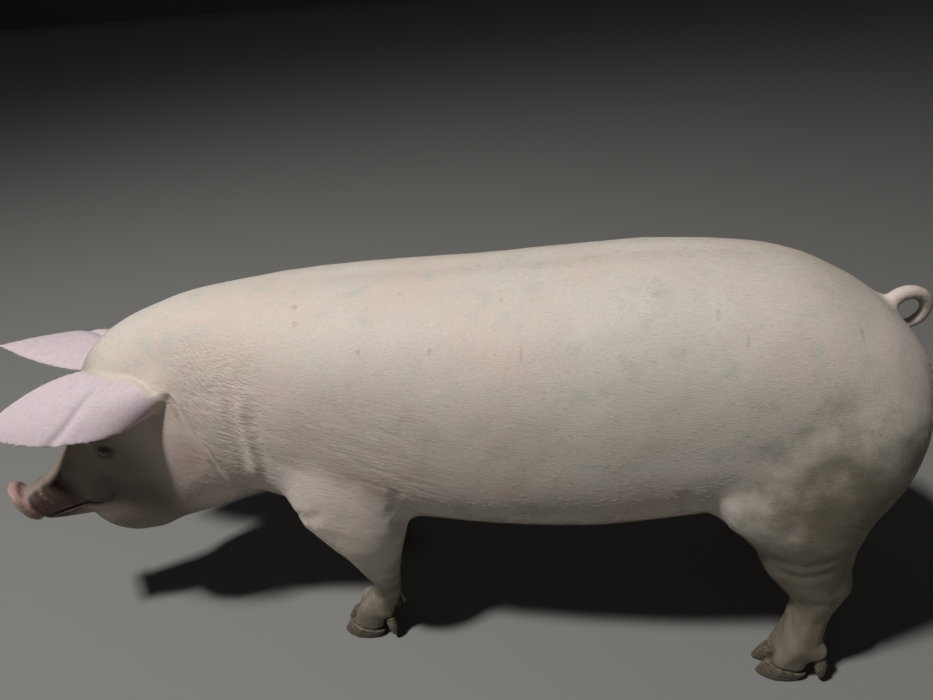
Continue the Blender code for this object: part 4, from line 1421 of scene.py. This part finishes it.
def make_eye(label, side):
    bpy.ops.mesh.primitive_uv_sphere_add(segments=64, ring_count=48, radius=EYE_RADIUS,
                                         location=(0, 0, 0))
    eye = bpy.context.active_object
    eye.name = f"eyeball_{label}"
    out, slit, tall = eye_axes(side)
    points = read_points(eye)
    directions = points / np.linalg.norm(points, axis=1)[:, None]
    off_axis = np.degrees(np.arccos(np.clip(directions @ out, -1, 1)))
    lifted = EYE_RADIUS - 0.0004 + BULGE * np.exp(-(off_axis / 26.0) ** 2)
    write_points(eye, directions * lifted[:, None] + EYES[label])
    level = np.hypot((directions @ slit) * 0.72, directions @ tall)
    write_numbers(eye, {"off_axis": off_axis / 90.0, "pupil": level,
                        "angle": np.arctan2(directions @ tall, directions @ slit)})
    return eye


def make_eye_finish():
    material, tree, shader = new_finish("eye_wet", (0.05, 0.03, 0.02), 0.06)
    off_axis = number(tree, "off_axis")
    rays = add_node(tree, "ShaderNodeCombineXYZ", {
        0: times(tree, number(tree, "angle"), 9.0),
        1: times(tree, off_axis, 2.0)}).outputs[0]
    fibre = add_node(tree, "ShaderNodeTexNoise", {"Vector": rays, "Scale": 2.5,
                                                  "Detail": 3.0}).outputs["Fac"]
    iris = mix_colour(tree, span(tree, fibre, 0.35, 0.65), (0.085, 0.038, 0.014),
                      (0.23, 0.12, 0.050))
    iris = mix_colour(tree, span(tree, number(tree, "pupil"), 0.24, 0.20), iris,
                      (0.004, 0.004, 0.005))
    edge = IRIS_ANGLE / 90.0
    iris = mix_colour(tree, span(tree, off_axis, edge - 0.05, edge), iris,
                      (0.030, 0.016, 0.010))
    white = mix_colour(tree, span(tree, off_axis, edge, edge + 0.14), (0.10, 0.060, 0.045),
                       (0.17, 0.12, 0.09))
    ball = mix_colour(tree, span(tree, off_axis, edge - 0.01, edge + 0.02), iris, white)
    tree.links.new(ball, shader.inputs["Base Color"])
    shader.inputs["Coat Weight"].default_value = 1.0
    shader.inputs["Coat Roughness"].default_value = 0.02
    return material


eye_finish = make_eye_finish()
for label, side in SIDES:
    eye = make_eye(label, side)
    eye.data.materials.append(eye_finish)
    make_active(eye)
    bpy.ops.object.shade_smooth()
    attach(eye, "root")
    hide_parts(f"eye_{label}")
print("eyes set")

# %% [markdown]
# A pig's coat is thin: short bristles that lie flat, so most of it is drawn in the skin.
# Here the bristles that break the form are modelled, in small tufts of three.  They lie
# close everywhere: back along the trunk, down the legs and toward the tips of the ears.
# Under the belly they stand out a little.

# %% Where tufts grow and how they lie
COAT_SEED = 20
TUFTS = 46000
BRISTLES = 3
NAPE_END = 0.22
TAIL_FROM = (0.700, 0.560, 0.065)
HAIR_LONG = 0.0125
HAIR_LIFT = 4.0
HAIR_STRAY = 0.12


def lie_of(points, normals, numbers):
    """Unit direction in which the hair lies at each root."""
    x = points[:, 0]
    head_y = in_frame(points, TO_HEAD)[:, 1]
    backward = np.tile((1.0, 0.0, -0.14), (len(points), 1))
    down = np.tile((0.12, 0.0, -1.0), (len(points), 1))
    ahead = np.array(HEAD.to_3x3() @ Vector((1.0, 0.0, -0.12)))
    low = numbers["leg"][:, None]
    face = numbers["face"][:, None]
    lie = backward * (1 - low) + down * low
    ham = (smoothstep(0.58, 0.74, x) * 0.8)[:, None]
    lie = lie * (1 - ham) + down * ham
    lie = lie * (1 - face) + ahead * face
    for label, side in SIDES:
        to_tip = np.array(ear_frame(label, side).to_3x3() @ Vector((-1.0, 0.0, 0.0)))
        here = (numbers["ear"] * (np.sign(head_y) == side))[:, None]
        lie = lie * (1 - here) + to_tip * here
    stray = np.stack([cloud(points, 0.06, seed) for seed in (41, 42, 43)], axis=1)
    lie = lie + HAIR_STRAY * stray
    lie -= normals * (lie * normals).sum(axis=1)[:, None]
    return lie / np.maximum(np.linalg.norm(lie, axis=1), 1e-6)[:, None]


def nape_share(points, normals):
    """1 along the ridge of the nape and withers, fading down the sides and backward."""
    ridge = smoothstep(0.80, 0.97, normals[:, 2])
    back = 1.0 - smoothstep(-0.10, NAPE_END, points[:, 0])
    return ridge * back * smoothstep(-0.58, -0.50, points[:, 0])


def growth(points, normals, numbers):
    """Tufts per area, length in metres and lift in degrees, at each root."""
    nape = nape_share(points, normals)
    legs, face, ear = numbers["leg"], numbers["face"], numbers["ear"]
    rim = ear * smoothstep(0.82, 0.96, np.abs(numbers["ear_across"]))
    bare = np.maximum(numbers["disc"], smoothstep(0.80, 0.95, numbers["eye"]))
    bare = np.maximum(bare, smoothstep(0.0, 0.5, numbers["lips"]))
    bare = np.maximum(bare, (points[:, 0] > TAIL_FROM[0]) & (points[:, 2] > TAIL_FROM[1])
                      & (np.abs(points[:, 1] - MIDLINE) < TAIL_FROM[2]))
    belly = smoothstep(0.4, 0.9, -normals[:, 2]) * (1 - face)
    ham = smoothstep(0.56, 0.72, points[:, 0])
    amount = 1.0 - 0.35 * nape + 0.2 * legs + 0.2 * ham + 0.9 * face + 0.3 * rim + 0.3 * belly
    amount = amount * (1 - 0.35 * ear * (1 - rim)) * (1 - bare)
    length = HAIR_LONG - 0.0015 * legs + 0.004 * belly
    length = length * (1 - 0.50 * face) * (1 - 0.45 * ear)
    foot = 1.0 - smoothstep(0.03, 0.10, points[:, 2])
    length = length * (1 - 0.35 * foot)
    lift = HAIR_LIFT - 1.5 * nape + 1.5 * legs + 6.0 * belly + 2.5 * face
    lift = lift * (1 - 0.75 * ear)
    return amount, length, lift


# %% Roots
def pick_roots(count, dice):
    """Random places on the skin, more where amount is larger."""
    points, normals, corners = read_points(skin), read_normals(skin), triangles_of(skin)
    amount, _, _ = growth(points, normals, skin_regions)
    first, second, third = (points[corners[:, k]] for k in range(3))
    area = np.linalg.norm(np.cross(second - first, third - first), axis=1) / 2
    chance = area * amount[corners].mean(axis=1)
    chosen = dice.choice(len(corners), size=count, p=chance / chance.sum())
    a, b = dice.random(count), dice.random(count)
    over = a + b > 1
    a[over], b[over] = 1 - a[over], 1 - b[over]
    shares = np.stack((1 - a - b, a, b), axis=1)
    used = corners[chosen]

    def between(values):
        if values.ndim == 2:
            return (values[used] * shares[:, :, None]).sum(axis=1)
        return (values[used] * shares).sum(axis=1)

    roots, across = between(points), between(normals)
    across /= np.linalg.norm(across, axis=1)[:, None]
    return roots, across, {name: between(values) for name, values in skin_regions.items()}


dice = np.random.default_rng(COAT_SEED)
roots, root_normals, root_numbers = pick_roots(TUFTS, dice)
print("tufts:", len(roots))

# %% [markdown]
# Each bristle is a closed three-sided spike, bent once so that it follows the body.  A
# tuft's spikes share one root.

# %% Shape of the bristles
SINK = 0.0004
BEND = 6.0
FAN = 0.10
STRAY_TURN = 0.16
THICK_LEAST = 0.00008
THICK_SHARE = 0.0048
WAIST_SHARE = 0.72
SCATTER = (0.0009, 0.0012)
RING_ANGLES = (90.0, 210.0, 330.0)
SPIKE_POINTS = 7
SPIKE_TIPS = (0, 0, 0, 0.5, 0.5, 0.5, 1.0)
SPIKE_FACES = np.array(((0, 4, 1), (0, 3, 4), (1, 5, 2), (1, 4, 5), (2, 3, 0), (2, 5, 3),
                        (3, 6, 4), (4, 6, 5), (5, 6, 3), (0, 1, 2)))


def bristles(roots, normals, numbers, dice):
    """Points, faces and per-point numbers of three-sided bent spikes."""
    _, length, lift = growth(roots, normals, numbers)
    lie = lie_of(roots, normals, numbers)
    side = np.cross(normals, lie)
    points, faces, tips, owner = [], [], [], []
    count = len(roots)
    start = 0
    for blade in range(BRISTLES):
        turn = dice.normal(0.0, STRAY_TURN, count) + (blade - 1) * FAN
        rise = np.radians(lift * dice.uniform(0.5, 1.5, count))
        long = length * dice.uniform(0.65, 1.25, count)
        thick = (THICK_LEAST + THICK_SHARE * long) * dice.uniform(0.8, 1.2, count)
        heading = lie * np.cos(turn)[:, None] + side * np.sin(turn)[:, None]
        aside = np.cross(normals, heading)
        shift = (dice.normal(0.0, SCATTER[0], (count, 1)) * side
                 + dice.normal(0.0, SCATTER[1], (count, 1)) * lie)
        base = roots + shift - normals * SINK
        upward = heading * np.cos(rise)[:, None] + normals * np.sin(rise)[:, None]
        bent = rise - math.radians(BEND)
        onward = heading * np.cos(bent)[:, None] + normals * np.sin(bent)[:, None]
        middle = base + upward * (long * 0.5)[:, None]
        top = middle + onward * (long * 0.5)[:, None]
        over = np.cross(upward, aside)
        rings = []
        for place, share in ((base, 1.0), (middle, WAIST_SHARE)):
            for angle in RING_ANGLES:
                away = (aside * math.cos(math.radians(angle))
                        - over * math.sin(math.radians(angle)))
                rings.append(place + away * (thick * share)[:, None])
        block = np.stack(rings + [top], axis=1)
        points.append(block.reshape(-1, 3))
        first = start + SPIKE_POINTS * np.arange(count)[:, None]
        faces.append((first[:, :, None] + SPIKE_FACES[None]).reshape(-1, 3))
        tips.append(np.tile(SPIKE_TIPS, count))
        owner.append(np.repeat(np.arange(count), SPIKE_POINTS))
        start += SPIKE_POINTS * count
    return np.vstack(points), np.vstack(faces), np.concatenate(tips), np.concatenate(owner)


# %% [markdown]
# For baking, each tuft has a small patch on an unwrap of the skin's own shape: trunk and
# head rolled out round the long axis, each leg round its own, each ear laid flat.

# %% Unwrap
PATCH = 0.003
AXIS_HEIGHT = 0.50
BODY_AHEAD = 0.80
BODY_LONG = 1.62
LEG_TOP = 0.30


def unwrap(roots, numbers):
    """Place of each root on the unwrap, 0 to 1 each way."""
    x, y, z = roots.T
    round_body = np.arctan2(y - MIDLINE, z - AXIS_HEIGHT) / math.tau + 0.5
    places = np.stack((0.02 + 0.96 * round_body,
                       0.42 + 0.56 * (x + BODY_AHEAD) / BODY_LONG), axis=1)
    legs = (numbers["leg"] > 0.5) & (z < LEG_TOP)
    for index, (rear, side) in enumerate(((0, -1), (0, 1), (1, -1), (1, 1))):
        here = legs & ((x > 0.2) == bool(rear)) & ((y > MIDLINE) == (side > 0))
        if here.any():
            middle = roots[here].mean(axis=0)
            around = np.arctan2(y[here] - middle[1], x[here] - middle[0]) / math.tau + 0.5
            places[here] = np.stack((0.01 + 0.18 * index + 0.165 * around,
                                     0.02 + 0.36 * z[here] / LEG_TOP), axis=1)
    on_leaf = numbers["ear"] > 0.5
    left = in_frame(roots, TO_HEAD)[:, 1] < 0
    for index, here in enumerate((on_leaf & left, on_leaf & ~left)):
        places[here] = np.stack((0.74 + 0.13 * index + 0.055 * (numbers["ear_across"][here] + 1),
                                 0.02 + 0.36 * numbers["ear_along"][here]), axis=1)
    return places


def coat_piece(label, chosen, finish, dice):
    """One piece of the coat, grown from the chosen roots."""
    own = {name: values[chosen] for name, values in root_numbers.items()}
    points, faces, tips, owner = bristles(roots[chosen], root_normals[chosen], own, dice)
    data = bpy.data.meshes.new(label)
    data.vertices.add(len(points))
    data.vertices.foreach_set("co", points.astype(np.float32).ravel())
    data.loops.add(faces.size)
    data.loops.foreach_set("vertex_index", faces.astype(np.int32).ravel())
    data.polygons.add(len(faces))
    data.polygons.foreach_set("loop_start", np.arange(0, faces.size, 3, dtype=np.int32))
    data.update(calc_edges=True)
    piece = bpy.data.objects.new(label, data)
    bpy.context.collection.objects.link(piece)
    write_numbers(piece, {name: values[owner] for name, values in own.items()})
    write_numbers(piece, {"tip": tips, "tone": dice.random(len(roots[chosen]))[owner]})
    spots = unwrap(roots[chosen], own)[owner]
    spots += (np.stack((tips, np.arange(len(tips)) % 3 / 2.0), axis=1) - 0.5) * PATCH
    data.shade_flat()
    layer = data.uv_layers.new(name="OFBake")
    layer.data.foreach_set("uv", spots[faces.ravel()].astype(np.float32).ravel())
    data.materials.append(finish)
    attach(piece, "root")
    return len(faces)


def make_coat_finish():
    material, tree, shader = new_finish("pig_bristle", CREAM, 0.42)
    colouring = use_group(tree, colouring_group)
    tip = number(tree, "tip")
    pale = add_node(tree, "ShaderNodeMapRange", {"Value": number(tree, "tone"), "To Min": 0.80,
                                                 "To Max": 1.05}).outputs[0]
    hair = add_node(tree, "ShaderNodeVectorMath", {0: (0.92, 0.86, 0.75), 3: pale},
                    operation="SCALE").outputs[0]
    # The hair near its root takes the skin's dirt and painted shade.
    dirty_and_shaded = times(tree, colouring["Dirt_and_shade"], 0.75)
    share = times(tree, flip(tree, dirty_and_shaded),
                  span(tree, tip, -0.3, 0.9))
    dark = times(tree, number(tree, "muzzle"), 0.75)
    share = times(tree, share, math_node(tree, "SUBTRACT", 0.80, dark, True))
    colour = add_node(tree, "ShaderNodeMix", {"Factor": share}, data_type="RGBA")
    tree.links.new(colouring["Color"], colour.inputs[6])
    tree.links.new(hair, colour.inputs[7])
    tree.links.new(colour.outputs[2], shader.inputs["Base Color"])
    shader.inputs["Specular IOR Level"].default_value = 0.45
    return material


coat_finish = make_coat_finish()
COAT_PARTS = ("coat_head", "coat_nape", "coat_neck", "coat_shoulder", "coat_back",
              "coat_barrel", "coat_loin", "coat_rump", "coat_ham")
order = np.argsort(roots[:, 0])
total = 0
for label, chosen in zip(COAT_PARTS, np.array_split(order, len(COAT_PARTS))):
    made = coat_piece(label, chosen, coat_finish, dice)
    total += made
    print(label, made)
print("coat triangles:", total)
